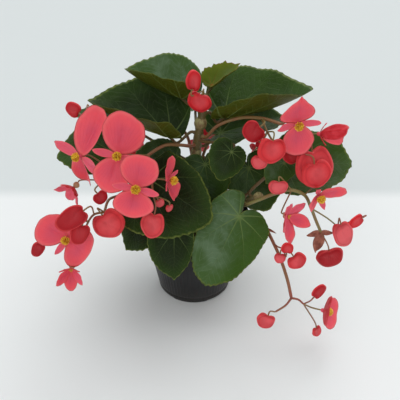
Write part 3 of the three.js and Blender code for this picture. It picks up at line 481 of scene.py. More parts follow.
def polar(r, angle, height):
    """Points at a distance from Z, an angle round it and a height."""
    return np.stack(np.broadcast_arrays(r * np.cos(angle), r * np.sin(angle), height), axis=-1)


def ripples(t, tint, rows):
    """The sum of height * sin(number * t + shift * tint) over rows of [height, number, shift]."""
    return sum(height * np.sin(number * t + shift * tint) for height, number, shift in rows)


def through(pairs, x):
    """Heights at x of a smooth curve through rising [x, y] pairs: a cubic in each gap, whose slope at a
    point is that of the line between its two neighbours."""
    xs, ys = np.array(pairs, float).T
    before = np.maximum(np.arange(len(xs)) - 1, 0)
    after = np.minimum(np.arange(len(xs)) + 1, len(xs) - 1)
    slopes = (ys[after] - ys[before]) / (xs[after] - xs[before])
    k = np.clip(np.searchsorted(xs, x, side="right") - 1, 0, len(xs) - 2)
    width = xs[k + 1] - xs[k]
    t = (x - xs[k]) / width
    s = 1 - t
    ends = ys[k] * (1 + 2 * t) * s * s + ys[k + 1] * (3 - 2 * t) * t * t
    return ends + width * (slopes[k] * t * s * s - slopes[k + 1] * t * t * s)


def smooth_path(points, samples=8):
    """Points along a curve through the given ones: a cubic in each gap, whose slopes weigh the gaps'
    square roots, so that it doesn't overshoot near a short gap."""
    p = np.array(points, float)
    p = np.concatenate([[2 * p[0] - p[1]], p, [2 * p[-1] - p[-2]]])
    gap = np.linalg.norm(np.diff(p, axis=0), axis=1, keepdims=True)[:, None] ** 0.5
    d0, d1, d2 = gap[:-2], gap[1:-1], gap[2:]
    x0, x1, x2, x3 = p[:-3, None], p[1:-2, None], p[2:-1, None], p[3:, None]
    first = ((x1 - x0) / d0 - (x2 - x0) / (d0 + d1) + (x2 - x1) / d1) * d1
    second = ((x2 - x1) / d1 - (x3 - x1) / (d1 + d2) + (x3 - x2) / d2) * d1
    t = np.linspace(0, 1, samples, endpoint=False)[None, :, None]
    curve = (
        (2 * t**3 - 3 * t**2 + 1) * x1
        + (t**3 - 2 * t**2 + t) * first
        + (3 * t**2 - 2 * t**3) * x2
        + (t**3 - t**2) * second
    )
    return np.concatenate([curve.reshape(-1, 3), p[-2:-1]])


def uneven(points, size, seed):
    """A smooth random height at each point: the mean of eight sine waves in random directions, with
    waves about size long."""
    waves = np.random.default_rng(seed)
    directions = waves.normal(size=(3, 8)) * 2 * math.pi / size / math.sqrt(3)
    return np.sin(points @ directions + waves.uniform(0, 2 * math.pi, 8)).mean(axis=-1)


def marks(a, b, side, edge, tint):
    """What a material reads at each point: its place a, b on the form, its side, how near the edge it
    is, and the form's own tint."""
    return np.stack(np.broadcast_arrays(a, b, side, edge, tint), axis=-1).astype(float)


# Closed forms. Each is a grid of points in rows and columns with its marks. Rows go from one pole to
# the other, columns go round, and all points of the first row are the same, as are the last row's.


def skin(middle, a, b, share, thickness, tint=0.5, rib=0):
    """The closed skin of a sheet, from its middle points in rows from hub to rim. Both faces stand off
    the middle along its normal by half of thickness * sqrt(1 - share^6), so that they meet at the rim.
    The lower face also stands out by rib, and the upper one sinks by a third of it."""
    outward = np.gradient(middle, axis=0)
    sideways = np.roll(middle, -1, axis=1) - np.roll(middle, 1, axis=1)
    normal = np.cross(outward, sideways)
    normal[0] = normal[1].mean(axis=0)
    normal = unit(normal)
    half = (thickness / 2 * np.sqrt(1 - share**6))[..., None] + np.zeros_like(middle)
    rib = (rib * (1 - share**6))[..., None] if np.ndim(rib) else rib
    top = middle + normal * (half - rib / 3)
    under = middle - normal * (half + rib)
    points = np.concatenate([top, under[-2::-1]])
    face = marks(a, b, 0, share, tint)
    back = marks(a, b, 1, share, tint)
    return points, np.concatenate([face, back[-2::-1]])


def tube(path, radius, sides=10, tint=0.5):
    """A round tube along a path with a rounded end: rings path + r (N cos t + S sin t), where N is square
    to the path and as near as may be to the direction in which it spreads least, and S is N x path."""
    along = unit(np.gradient(path, axis=0))
    flat = np.linalg.svd(path - path.mean(axis=0))[2][2]
    normal = unit(flat - along * (along @ flat)[:, None])
    side = np.cross(normal, along)
    angle = circle(sides)[None, :, None]
    radius = np.broadcast_to(radius, len(path))
    ends = np.zeros(len(path))
    ends[[0, -1]] = 0.3
    rings = path[:, None] + (radius * (1 - ends))[:, None, None] * (
        normal[:, None] * np.cos(angle) + side[:, None] * np.sin(angle)
    )
    first = np.broadcast_to(path[0] - along[0] * radius[0] * 0.3, (1, sides, 3))
    last = np.broadcast_to(path[-1] + along[-1] * radius[-1] * 0.3, (1, sides, 3))
    length = np.concatenate([[0], np.cumsum(np.linalg.norm(np.diff(path, axis=0), axis=1))])
    run = np.concatenate([[0], length, [length[-1]]])[:, None]
    turn = circle(sides)[None] / (2 * math.pi)
    return np.concatenate([first, rings, last]), marks(run, turn, 0, run / length[-1], tint)


def turned(profile, columns, lobes=0, depth=0, tint=0.5):
    """A profile of [radius, height] pairs turned about Z, whose radius swells and sinks by depth in each
    of its lobes. The profile's ends are at radius 0, the upper one first."""
    radius, height = np.array(profile, float).T
    angle = circle(columns)[None]
    points = polar(radius[:, None] * (1 + depth * np.cos(lobes * angle)), angle, height[:, None])
    share = np.linspace(0, 1, len(radius))[:, None]
    return points, marks(share, angle / (2 * math.pi), 0, share, tint)


def placed(form, axes, at):
    """A form's points carried from their own axes, given as three rows, to a place."""
    points, values = form
    return points @ np.asarray(axes) + np.asarray(at, float), values


def form_faces(rows, columns):
    """Corner numbers of a closed form's faces: triangles round both poles, each with -1 as a fourth
    corner, and four-sided faces between the rings."""
    ring = np.arange(columns)
    after = np.roll(ring, -1)
    none = np.full(columns, -1)
    start = 1 + columns * np.arange(rows - 3)[:, None]
    bands = [start + ring, start + columns + ring, start + columns + after, start + after]
    last = 1 + columns * (rows - 3)
    end = np.full(columns, last + columns)
    top = np.stack([0 * ring, 1 + ring, 1 + after, none], axis=-1)
    bottom = np.stack([end, last + after, last + ring, none], axis=-1)
    return np.concatenate([top, np.stack(bands, axis=-1).reshape(-1, 4), bottom])


def closed(values):
    """A form's values at its vertices: one for each pole, and one for each point between them."""
    batch = values.reshape((-1,) + values.shape[-3:])
    inner = batch[:, 1:-1].reshape(len(batch), -1, batch.shape[-1])
    return np.concatenate([batch[:, 0, :1], inner, batch[:, -1, :1]], axis=1)


def mesh_object(name, forms):
    """One object from closed forms, or from batches of alike ones, in metres, with the marks as point
    attributes: form is the place and side, edge and tint are single values."""
    corners, places, values = [], [], []
    used = 0
    for points, mark in forms:
        rows, columns = points.shape[-3:-1]
        vertices = closed(points)
        count, size = vertices.shape[:2]
        faces = form_faces(rows, columns)
        shift = used + size * np.arange(count)[:, None, None]
        corners.append(np.where(faces < 0, -1, faces + shift).reshape(-1, 4))
        places.append(vertices.reshape(-1, 3) * MM)
        values.append(closed(np.broadcast_to(mark, points.shape[:-1] + (5,))).reshape(-1, 5))
        used += count * size
    corners = np.concatenate(corners)
    places = np.concatenate(places)
    values = np.concatenate(values)
    loops = corners[corners >= 0]
    sizes = (corners >= 0).sum(axis=1)
    mesh = bpy.data.meshes.new(name)
    mesh.vertices.add(len(places))
    mesh.vertices.foreach_set("co", places.ravel())
    mesh.loops.add(len(loops))
    mesh.loops.foreach_set("vertex_index", loops)
    mesh.polygons.add(len(sizes))
    mesh.polygons.foreach_set("loop_start", np.cumsum(sizes) - sizes)
    mesh.update(calc_edges=True)
    mesh.shade_smooth()
    place = mesh.attributes.new("form", "FLOAT_VECTOR", "POINT")
    place.data.foreach_set("vector", values[:, :3].ravel())
    for key, column in (("edge", 3), ("tint", 4)):
        mark = mesh.attributes.new(key, "FLOAT", "POINT")
        mark.data.foreach_set("value", values[:, column].copy())
    made = bpy.data.objects.new(name, mesh)
    bpy.context.scene.collection.objects.link(made)
    return made


def piece(name, forms, slot, material, *nodes):
    """A finished piece of the part's one body, which stands for the named solids."""
    made = mesh_object(name, forms)
    made.data.materials.append(material)
    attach(made, "root")
    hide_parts(*nodes)
    return made


# Places


def blade_axes(base, tip, face, bend):
    """X along a blade's midrib at its base, Y to its left and Z out of its upper side. X is the chord to
    the tip, turned up by half of the bend."""
    chord = unit(np.subtract(tip, base).astype(float))
    up = np.array(face, float)
    up = unit(up - chord * up.dot(chord))
    half = math.radians(bend) / 2
    along = chord * math.cos(half) + up * math.sin(half)
    out = up * math.cos(half) - chord * math.sin(half)
    return np.array([along, np.cross(out, along), out])


def flower_axes(facing, lift, spin):
    """X to the top of a flower's face, Z out of it at the heading and height given in degrees."""
    turn, rise, roll = np.radians([facing, lift, spin])
    out = np.array([math.cos(rise) * math.cos(turn), math.cos(rise) * math.sin(turn), math.sin(rise)])
    top = unit(np.array([0, 0, 1.0]) - out * out[2])
    up = top * math.cos(roll) + np.cross(out, top) * math.sin(roll)
    return np.array([up, np.cross(out, up), out])


def in_flower(form, angle, tilt, root=1):
    """A tepal's form turned to its angle in the flower's face and leaning forward by its tilt, with its
    root at a distance from the flower's middle."""
    turn, lean = math.radians(angle), math.radians(tilt)
    out = np.array([math.cos(turn), math.sin(turn), 0])
    side = np.array([-math.sin(turn), math.cos(turn), 0])
    front = np.array([0, 0, 1.0])
    along = out * math.cos(lean) + front * math.sin(lean)
    axes = [along, side, front * math.cos(lean) - out * math.sin(lean)]
    return placed(form, axes, out * root)


def cane_at(name, height):
    """The point on a cane's middle line at a height, its direction there and its radius."""
    path = smooth_path(CANES[name]["points"], 40)
    along = unit(np.gradient(path, axis=0))
    middle = np.array([np.interp(height, path[:, 2], path[:, i]) for i in range(3)])
    heading = np.array([np.interp(height, path[:, 2], along[:, i]) for i in range(3)])
    return middle, unit(heading), CANES[name]["radius"]


def root_on(cane, height, target):
    """The first two points of a stalk that leaves a cane square to it, towards the target."""
    middle, along, radius = cane_at(cane, height)
    out = np.array(target, float) - middle
    out = unit(out - along * out.dot(along))
    return [middle + out * (radius - 0.6), middle + out * (radius + 4)]


def folded(a, b, lift, length, fold, curl, bend):
    """Points of a blade folded along its midrib and bent along it, a and b in millimetres. Across, each
    half starts at its fold's angle and turns by curl in a length; along, the midrib turns down by bend."""
    turn = (math.radians(bend) or 1e-6) / length
    roll = (math.radians(curl) or 1e-6) / length
    soft = CREASE * length
    reach = np.hypot(b, soft) - soft
    start = np.radians(np.where(b >= 0, fold[0], fold[1]))
    across = (np.sin(start + roll * reach) - np.sin(start)) / roll
    height = (np.cos(start) - np.cos(start + roll * reach)) / roll + lift
    return np.stack([
        np.sin(turn * a) * (1 / turn + height),
        np.sign(b) * (across - reach) + b,
        height * np.cos(turn * a) - (1 - np.cos(turn * a)) / turn,
    ], axis=-1)


# Forms of the plant


def vein_distance(a, b):
    """How far a point of a leaf is from the nearest main vein, in leaf lengths. The veins fan out from
    the petiole at equal angles t, where t is the point's own angle plus a bow times b."""
    turn = (np.arctan2(b, a) + VEIN_BOW * b) / VEIN_ANGLE
    return np.abs(turn - np.round(turn)) * VEIN_ANGLE * np.hypot(a, b)


def leaf_form(row, index):
    """A leaf's blade: an outline given by its distance from the petiole at each angle, with small
    teeth, filled by rows from the petiole to the rim and folded. The skin swells between the veins by
    quilt * min(distance / 0.12, 1), its rim waves, and a young leaf is more ragged."""
    bend = row["bend"]
    chord = np.linalg.norm(np.subtract(row["tip"], row["base"]))
    half = math.radians(abs(bend)) / 2
    length = chord * half / math.sin(half)
    teeth = 2 * round(length * TEETH_PER_MM)
    step = np.arange(teeth)
    angle = (-math.pi + 2 * math.pi * step / teeth)[None]
    behind = np.maximum(-np.cos(angle), 0)
    rim = np.minimum((math.pi - np.abs(angle)) * 3, 1)
    lobe = np.where(angle > 0, row["lobes"][0], row["lobes"][1])
    plain = through(LEAF_RADIUS, np.degrees(np.abs(angle))) * (1 - (1 - lobe) * behind)
    plain = plain * (1 + row.get("full", 0) * np.sin(np.minimum(1.3 * np.abs(angle), math.pi)))
    ragged = YOUNG_RAGGED if row.get("look") == "young" else 1
    scallops = LEAF_SCALLOP * ragged * np.abs(np.sin(angle * 7 + 0.5 * index)) * rim
    tooth = TOOTH_HEIGHT / length * ragged
    uneven_teeth = 0.7 + 0.3 * np.sin(angle * 11 + index)
    serration = np.where(step % 2, 1.2 * tooth, -tooth)[None] * uneven_teeth * rim
    radius = plain * (1 + row["skew"] * np.sin(angle)) * (1 + scallops + serration)
    share = np.linspace(0, 1, LEAF_ROWS)[:, None] ** 0.85 + np.zeros_like(angle)
    a = share * radius * np.cos(angle)
    b = share * radius * np.sin(angle) * row["wide"]
    vein = vein_distance(a, b)
    quilt = LEAF_QUILT * np.minimum(vein / 0.12, 1) * np.sin(math.pi * share)
    slant = np.hypot(a, b) - VEIN_SLANT * vein
    puckers = LEAF_PUCKER * np.cos(2 * math.pi * slant / VEIN_STEP) * np.minimum(vein / 0.05, 1)
    waves = LEAF_RIPPLE * share**3 * np.sin(LEAF_WAVES * angle)
    waves = waves + RIM_RIPPLE * share**4 * np.sin(13 * angle + index)
    lift = (quilt - puckers * np.sin(math.pi * share) + waves) * length
    middle = folded(a * length, b * length, lift, length, row["fold"], row["curl"], bend)
    rib = (0.25 + 1.1 * (1 - share)) * np.exp(-((vein * length / 1.3) ** 2))
    return skin(middle, a, b, share, LEAF_THICKNESS, LEAF_TONES_AND_PAINTED_LIGHT.get(row["name"], LEAF_TONE_AND_PAINTED_LIGHT), rib)


def petiole_form(row, axes):
    """A leaf's stalk: a tube from its cane to the blade's base, thicker at its foot."""
    foot = root_on(row["cane"], row["height"], row["base"])
    path = smooth_path([*foot, *(np.array(PETIOLE_END, float) @ axes + np.array(row["base"]))], 10)
    share = np.linspace(0, 1, len(path))
    radius = PETIOLE_RADIUS * (0.92 + 0.5 * np.exp(-share * 14) - 0.12 * share)
    return tube(path, radius, 14, rng.uniform(0.2, 0.8))


def tepal_outline(count, width, taper, point):
    """A tepal's outline round its middle, in its own lengths: along is (1 - cos t) / 2, and across is
    half the width times sin t, drawn in by a power of sin(t / 2) towards the root."""
    t = circle(count)
    along = 0.5 - 0.5 * np.cos(t)
    across = width / 2 * np.sin(t) * np.abs(np.sin(t / 2)) ** taper * (1 - 0.999 * along) ** point
    return along, -across, t


def tepal_form(
    length, width, taper, point, fold=(0, 0), curl=TEPAL_CURL, bend=TEPAL_BEND, tint=0.5, rows=12
):
    """A tepal: its outline filled by rows from its middle, cupped, creased along its middle near the
    root, turned up at its rim and waved there by sines of t, whose phases come from its tint."""
    count = BROAD_COLUMNS if width > NARROW_TEPAL_WIDTH else NARROW_COLUMNS
    along, across, t = tepal_outline(count, width, taper, point)
    share = np.linspace(0, 1, rows)[:, None]
    outer = np.sin(t / 2) ** 2
    frill = 1 + outer * ripples(t, tint, TEPAL_FRILLS)
    a = 0.5 + (along - 0.5) * share * frill
    b = across * share * frill + 0.03 * width * math.sin(31 * tint) * np.sin(math.pi * along) * share
    crease = -0.03 * np.exp(-((b / 0.06) ** 2)) * np.sin(math.pi * np.clip(a * 1.2, 0, 1))
    hump = 0.018 * math.sin(13 * tint) * np.sin(math.pi * np.clip(a, 0, 1))
    dish = 0.02 * share**5 + hump * (1 - share**2)
    lift = ((share**3 * ripples(t, tint, TEPAL_WAVES) + dish) * outer + crease) * length
    middle = folded(a * length, b * length, lift, length, fold, curl, bend)
    return skin(middle, a, b, share + 0 * b, TEPAL_THICKNESS, tint)


def bloom_forms(name, at, aim, size, lean, broad):
    """A male flower's four tepals on their round receptacle. The two narrow ones have a high tint, by
    which the material makes them paler."""
    fold = TEPAL_FOLDS.get(name, (0, 0))
    tint = rng.uniform(0, 1)
    upper_tint = 0.6 * tint
    lower_tint = 0.6 * (tint + 0.37) % 0.6
    upper = tepal_form(size[0], broad[0], 0.2, TEPAL_POINTS.get(name, 0), fold, tint=upper_tint)
    lower = tepal_form(size[1], broad[1], 0.2, 0, fold, tint=lower_tint)
    narrow = tepal_form(size[2], NARROW_TEPAL_WIDTH, 0.6, 0.25, tint=NARROW_TINT + 0.3 * tint)
    low = -RECEPTACLE_DEPTH - RECEPTACLE_RADIUS
    high = RECEPTACLE_RADIUS - RECEPTACLE_DEPTH
    profile = [[0, high], [1.6, high - 0.3], [2.2, -0.2], [2.1, -1.4], [1.3, -2.6], [0, low]]
    forms = [
        in_flower(upper, 0, lean[0]),
        in_flower(lower, 180, lean[1]),
        in_flower(narrow, 90, lean[2]),
        in_flower(narrow, -90, lean[2]),
        turned(profile, 16, tint=tint),
    ]
    return [placed(form, flower_axes(*aim), at) for form in forms]


def stamen_forms(at, aim):
    """A knot of stamens: clubs that fan out from the flower's middle to points spread over a dome by the
    golden angle, each a thin filament that swells into a two-lobed anther."""
    k = np.arange(ANTHERS)
    dip = np.arccos(1 - 1.25 * (k + 0.5) / ANTHERS)
    out = polar(np.sin(dip), k * math.pi * (3 - math.sqrt(5)), np.cos(dip))
    foot = np.array([0, 0, RECEPTACLE_RADIUS - RECEPTACLE_DEPTH - 0.2])
    reach = rng.uniform(0.88, 1.02, (ANTHERS, 1))
    tip = np.array([0, 0, STAMEN_HEIGHT]) + out * STAMEN_RADIUS * reach
    along = unit(tip - foot)
    side = unit(np.cross(along, [0.31, 0.87, 0.39]))
    other = np.cross(side, along)
    share = np.array([0.12, 0.12, 0.5, 0.62, 0.76, 0.9, 1.0, 1.0])[None, :, None, None]
    width = np.array([0, 0.22, 0.2, 0.42, 0.78, 0.72, 0.4, 0])[None, :, None, None]
    angle = circle(6)[None, None, :, None]
    flatness = 0.75
    ring = side[:, None, None] * np.cos(angle) + other[:, None, None] * np.sin(angle) * flatness
    points = foot + (tip - foot)[:, None, None] * share + ring * width
    tint = rng.uniform(0, 1, (ANTHERS, 1, 1))
    rise = np.broadcast_to(share[..., 0], points.shape[:-1])
    return [placed((points, marks(rise, 0, 0, rise, tint)), flower_axes(*aim), at)]


def bud_form(size, tall, tint):
    """A flat bud facing +Z: two broad tepals pressed together, round but for a notch at the top, where
    the reach is 1 - notch * share * exp(-(angle / 0.5)^2). Each is domed by (1 - share^2.6)^0.7, hollowed
    in its middle, with a crease that winds in from the notch, a raised lobe beside it and soft waves.
    The front one is a little smaller, and a groove parts the two rims."""
    radius = size / 2
    angle = circle(48)[None]
    near = np.minimum(angle, 2 * math.pi - angle)
    ramp = np.sin(np.linspace(0, math.pi / 2, 12))
    share = np.concatenate([ramp * 0.95, [0.92, 0.93], ramp[::-1]])[:, None]
    hollow = 1 - 0.5 * np.exp(-((ramp / 0.6) ** 2))
    dome = BUD_FLATNESS * (1 - ramp**2.6) ** 0.7 * hollow
    height = np.concatenate([dome + BUD_LIP, [0.01, -0.01], -dome[::-1] - BUD_LIP])[:, None]
    notch = 1 - BUD_NOTCH * share * np.exp(-((near / 0.5) ** 2))
    reach = radius * share * notch * (1 + share * ripples(angle, tint, BUD_SWINGS))
    up = reach * np.cos(angle)
    side = reach * np.sin(angle)
    wind = side / radius - 0.22 * np.sin(2.6 * up / radius)
    crease = 0.4 * np.exp(-((wind / 0.09) ** 2)) * np.clip(up / radius + 0.25, 0, 1) ** 0.6
    cheeks = 1 + ripples(angle, tint, BUD_CHEEKS) * share**2
    z = radius * height * (1 - crease * (1 - share**6)) * cheeks
    z = z + radius * 0.13 * share**2 * np.exp(-(((angle - 0.75) / 0.35) ** 2)) * np.sign(height)
    z = z + radius * share**2 * ripples(angle, tint, BUD_TWIST)
    points = np.stack([up * tall, side, z], axis=-1)
    points[0] = points[0].mean(axis=0)
    points[-1] = points[-1].mean(axis=0)
    back = (np.arange(len(height)) > len(ramp))[:, None]
    return points, marks(0.5 - up / size, side / size, back, share, tint)


def female_forms(size, opening):
    """A female flower's five uneven tepals, each leaning forward so that its tip is about sin(opening) of
    its reach in front of the middle."""
    rise = math.sin(math.radians(opening))
    length = size * math.hypot(1, rise)
    lean = math.degrees(math.atan(rise))
    tepals = []
    for i, reach in enumerate(FEMALE_REACH):
        tint = rng.uniform(0, 1)
        tepal = tepal_form(length * reach, 0.7, 0.4, 0.12, curl=34, bend=-16, tint=tint, rows=9)
        tepals.append(in_flower(tepal, 72 * i, lean + (7 if i % 2 else -5), root=0.3))
    return tepals


def ovary_form():
    """A winged seed case behind a female flower: r = body + wing * |cos 1.5 t|^9, over its length."""
    share = np.linspace(0, 1, 14)[:, None]
    angle = circle(36)[None]
    r = np.sin(math.pi * share) ** 0.7 * (1.9 + 2.1 * np.abs(np.cos(1.5 * angle)) ** 9)
    points = polar(r, angle, 0.6 - share * OVARY_LENGTH)
    return points, marks(share, angle / (2 * math.pi), 0, r / 4, rng.uniform(0, 1))


def style_forms():
    """The three forked, twisted stigmas of a female flower, as short curved horns."""
    t = np.linspace(0, 1, 9)
    horns = []
    for i in range(6):
        turn = math.radians(60 * i + (12 if i % 2 else -12))
        swing = turn + 1.5 * t * (1 if i % 2 else -1)
        path = polar(0.4 + 1.9 * t, swing, 0.4 + 2.2 * t - 0.8 * t * t)
        horns.append(tube(path, 0.42 - 0.12 * t, 8, 0.6))
    return horns


def bract_form(start, tip, width):
    """A pointed papery bract from one point to another."""
    chord = np.linalg.norm(np.subtract(tip, start))
    form = tepal_form(chord, width, 0.3, 0.5, (10, 10), 40, 12, rng.uniform(0, 1), 8)
    return placed(form, blade_axes(start, tip, [0, -1, 0.3], 0), start)


def knob_form(at, radius, tint):
    """The swollen joint at a branching: a slightly flattened ball."""
    t = np.linspace(0, math.pi, 9)
    profile = np.stack([np.sin(t) * radius, np.cos(t) * radius * 0.9], axis=-1)
    return placed(turned(profile, 12, tint=tint), np.eye(3), at)


def pedicel_form(start, neck, axes, at, tint, share=0.85, samples=10):
    """A flower's thin stalk, from a point to the two of its neck, which are seen from the flower."""
    path = smooth_path([start, *(neck @ axes + np.array(at))], samples)
    return tube(path, PEDICEL_RADIUS * share, 8, tint)


def spray_forms(row):
    """A spray's stalks, its buds, its female flowers' petals, seed cases and stigmas, and its bracts, each
    as a list of forms."""
    tone = STALK_TONES.get(row["name"], STALK_TONE)
    stalks, buds, females, cases, styles = [], [], [], [], []
    for i, (radius, points) in enumerate(row["branches"]):
        route = [*root_on(row["cane"], row["height"], points[0]), *points] if i == 0 else points
        path = smooth_path(route, 10)
        share = np.linspace(0, 1, len(path))
        foot = 0.35 * np.exp(-share * 16) if i == 0 else 0.15 * np.exp(-share * 9)
        stalks.append(tube(path, radius * (0.95 + foot - 0.15 * share), 12, tone))
        if i > 0:
            stalks.append(knob_form(points[0], radius * 1.25, tone))
    for name, start in row.get("blooms", {}).items():
        at, aim = BLOOMS[name][:2]
        neck = [[0, 0, -PEDICEL_BACK], [0, 0, -RECEPTACLE_DEPTH - RECEPTACLE_RADIUS + 0.4]]
        stalks.append(pedicel_form(start, neck, flower_axes(*aim), at, rng.uniform(0, 1), 0.9, 12))
    tones = BUD_TONES.get(row["name"], [])
    for i, (start, at, aim, size, tall) in enumerate(row["buds"]):
        axes = flower_axes(*aim)
        tint = tones[i] if i < len(tones) else rng.uniform(0.2, 0.9)
        top = size / 2 * tall
        buds.append(placed(bud_form(size, tall, tint), axes, at))
        neck = [[top + 2, 0, 0], [top * 0.55, 0, 0]]
        stalks.append(pedicel_form(start, neck, axes, at, rng.uniform(0, 1)))
    for start, at, aim, size, opening in row.get("flowers", []):
        axes = flower_axes(*aim)
        females += [placed(form, axes, at) for form in female_forms(size, opening)]
        styles += [placed(form, axes, at) for form in style_forms()]
        cases.append(placed(ovary_form(), axes, at))
        neck = [[0, 0, -3 * OVARY_RADIUS], [0, 0, -2.3 * OVARY_RADIUS]]
        stalks.append(pedicel_form(start, neck, axes, at, 0.4))
    bracts = [bract_form(*bract) for bract in row.get("bracts", [])]
    return stalks, buds, females, cases, styles, bracts


def cane_form(name):
    """A cane: a tube that swells at each joint, where leaves and stalks leave it."""
    cane = CANES[name]
    path = smooth_path(cane["points"], 24)
    joints = [r["height"] for r in [*LEAVES, *SPRAYS] if r["cane"] == name]
    swell = sum(np.exp(-(((path[:, 2] - joint) / 2.2) ** 2)) for joint in joints)
    share = np.linspace(0, 1, len(path))
    radius = cane["radius"] * (1.02 - 0.12 * share + 0.16 * np.minimum(swell, 1))
    return tube(path, radius, 24, rng.uniform(0, 1))


def stipule_form(cane, height, half, wide):
    """A papery swelling round a joint: a sheath that bulges, puckers along its length and closes to a
    point above."""
    middle, along, _ = cane_at(cane, height)
    t = np.linspace(0, 1, 20)[:, None]
    angle = circle(36)[None]
    folds = 0.06 * np.sin(7 * angle + 3 * t) + 0.03 * np.sin(15 * angle)
    r = wide * np.sin(math.pi * t) ** 0.6 * (1 + folds)
    side = unit(np.cross(along, [0, 1, 0.2]))
    form = polar(r, angle, half * (1 - 2 * t)), marks(t, angle / (2 * math.pi), 0, t, 0.5)
    return placed(form, [side, np.cross(along, side), along], middle)


def crown_form():
    """The woody crown in the soil: a turned knob with slow lumps."""
    profile = [
        [0, CROWN_TOP],
        [5, CROWN_TOP - 0.6],
        [CROWN_RADIUS * 0.5, CROWN_TOP - 1],
        [CROWN_RADIUS * 0.7, CROWN_TOP - 2.4],
        [CROWN_RADIUS * 0.9, SOIL_LEVEL + 2],
        [CROWN_RADIUS, SOIL_LEVEL - 1],
        [CROWN_RADIUS, SOIL_LEVEL - 6],
        [CROWN_RADIUS, SOIL_LEVEL - CROWN_DEPTH + 1],
        [CROWN_RADIUS - 1, SOIL_LEVEL - CROWN_DEPTH],
        [0, SOIL_LEVEL - CROWN_DEPTH],
    ]
    points, values = turned(profile, 48, 5, 0.04)
    lumps = uneven(points, 14, SEED) * 1.6 * (points[..., 2] > SOIL_LEVEL - 2)
    lumps[0] = lumps[0].mean()
    lumps[-1] = 0
    return points * (1 + lumps[..., None] * 0.02), values


# Pot and soil


def wall(height):
    """The outer radius of the pot's wall at a height."""
    share = height / (POT_HEIGHT - POT_RIM_HEIGHT)
    return POT_BASE_RADIUS + (POT_WALL_RADIUS - POT_BASE_RADIUS) * share


def pot_inside(height):
    """The inner radius of the pot's wall at a height."""
    return wall(height) - POT_WALL


def pot_form():
    """The pot's shell: its section turned about Z, with small rounds at its edges, a shallow groove above
    its foot and a lip under its rim. In the gaps between its feet, the underside is raised."""
    ledge = POT_HEIGHT - POT_RIM_HEIGHT
    rim = POT_RIM_RADIUS
    base = POT_BASE_RADIUS
    foot = POT_BASE_RADIUS - FOOT_GAP_DEPTH
    outer = [[0, 0.8], [foot - 5, 0.8], [foot - 4, 0.2], [foot - 3, 0], [foot - 0.1, 0], [foot, 0]]
    outer += [[base - 1.4, 0], [base - 0.4, 0.3], [wall(1.4), 1.4], [wall(2.2), 2.2], [wall(3), 3]]
    outer += [[wall(6), 6], [wall(6.6) - 0.5, 6.8], [wall(7.4) - 0.5, 7.6], [wall(8.4), 8.4]]
    outer += [[wall(z), z] for z in np.linspace(12, ledge - 3, 12)]
    outer += [[wall(ledge - 0.8), ledge - 0.8], [wall(ledge) + 0.4, ledge - 0.1], [rim - 1.2, ledge]]
    outer += [[rim - 0.3, ledge + 0.3], [rim, ledge + 1.1], [rim, ledge + 3], [rim - 0.1, POT_HEIGHT - 2.4]]
    outer += [[rim + 0.1, POT_HEIGHT - 1.2], [rim - 0.1, POT_HEIGHT - 0.3], [rim - 0.6, POT_HEIGHT]]
    inner = [[rim - POT_WALL + 0.4, POT_HEIGHT], [rim - POT_WALL, POT_HEIGHT - 0.4]]
    inner += [[rim - POT_WALL, ledge + POT_WALL + 0.6], [rim - POT_WALL - 0.6, ledge + POT_WALL]]
    inner += [[pot_inside(ledge) + 0.3, ledge + 0.6], [pot_inside(ledge), ledge - 0.6]]
    inner += [[pot_inside(z), z] for z in (60, 30, POT_FLOOR + 1)]
    inner += [[pot_inside(POT_FLOOR) - 1, POT_FLOOR], [0, POT_FLOOR]]
    profile = [*outer, *inner]
    points, values = turned(profile[::-1], POT_COLUMNS)
    heading = np.degrees(np.arctan2(points[..., 1], points[..., 0])) - FOOT_GAP_HEADING
    step = 360 / FOOT_GAPS
    away = np.abs(heading / step - np.round(heading / step)) * step
    raised = np.clip((FOOT_GAP_HALF - away) / 2 + 0.5, 0, 1)
    raised = raised * (np.hypot(points[..., 0], points[..., 1]) > foot - 0.05)
    height = points[..., 2]
    points[..., 2] = height + raised * np.maximum(FOOT_GAP_HEIGHT - height, 0)
    return points, values


def cut_drains(pot):
    """Round holes through the pot's floor, on a circle, cut with a Boolean that is then applied."""
    drill = [[0, 8], [DRAIN_RADIUS, 8], [DRAIN_RADIUS, -4], [0, -4]]
    places = polar(DRAIN_CIRCLE, circle(DRAIN_COUNT), 0)
    drills = mesh_object("drills", [placed(turned(drill, 24), np.eye(3), place) for place in places])
    cut = pot.modifiers.new("drains", "BOOLEAN")
    cut.object = drills
    cut.operation = "DIFFERENCE"
    cut.solver = "EXACT"
    graph = bpy.context.evaluated_depsgraph_get()
    whole = bpy.data.meshes.new_from_object(pot.evaluated_get(graph))
    pot.modifiers.clear()
    pot.data = whole
    bpy.data.objects.remove(drills)


def soil_form():
    """The soil: a turned body whose top is raised by smooth random heights of two sizes, flat where it
    meets the wall and the crown's hole."""
    low = POT_FLOOR + GAP
    hole = CROWN_RADIUS + 2 * GAP
    edge = pot_inside(SOIL_LEVEL) - 2 * GAP
    share = np.linspace(0, 1, 44)
    top = np.stack([hole + (edge - hole) * share, SOIL_LEVEL + SOIL_DOME * (1 - share)], axis=-1)
    bottom = SOIL_LEVEL - CROWN_DEPTH - GAP
    walls = [[pot_inside(z) - 2 * GAP, z] for z in (SOIL_LEVEL - 1, 60, 30, low)]
    points, values = turned([[0, bottom], [hole, bottom], [hole, SOIL_LEVEL], *top, *walls, [0, low]], 200)
    across = np.zeros(len(points))
    across[3:47] = np.sin(math.pi * share) ** 0.5
    rough = 1.5 * uneven(points, 9, SEED + 1) + 1.2 * uneven(points, 3.6, SEED + 2)
    points[..., 2] += rough * across[:, None]
    return points, values


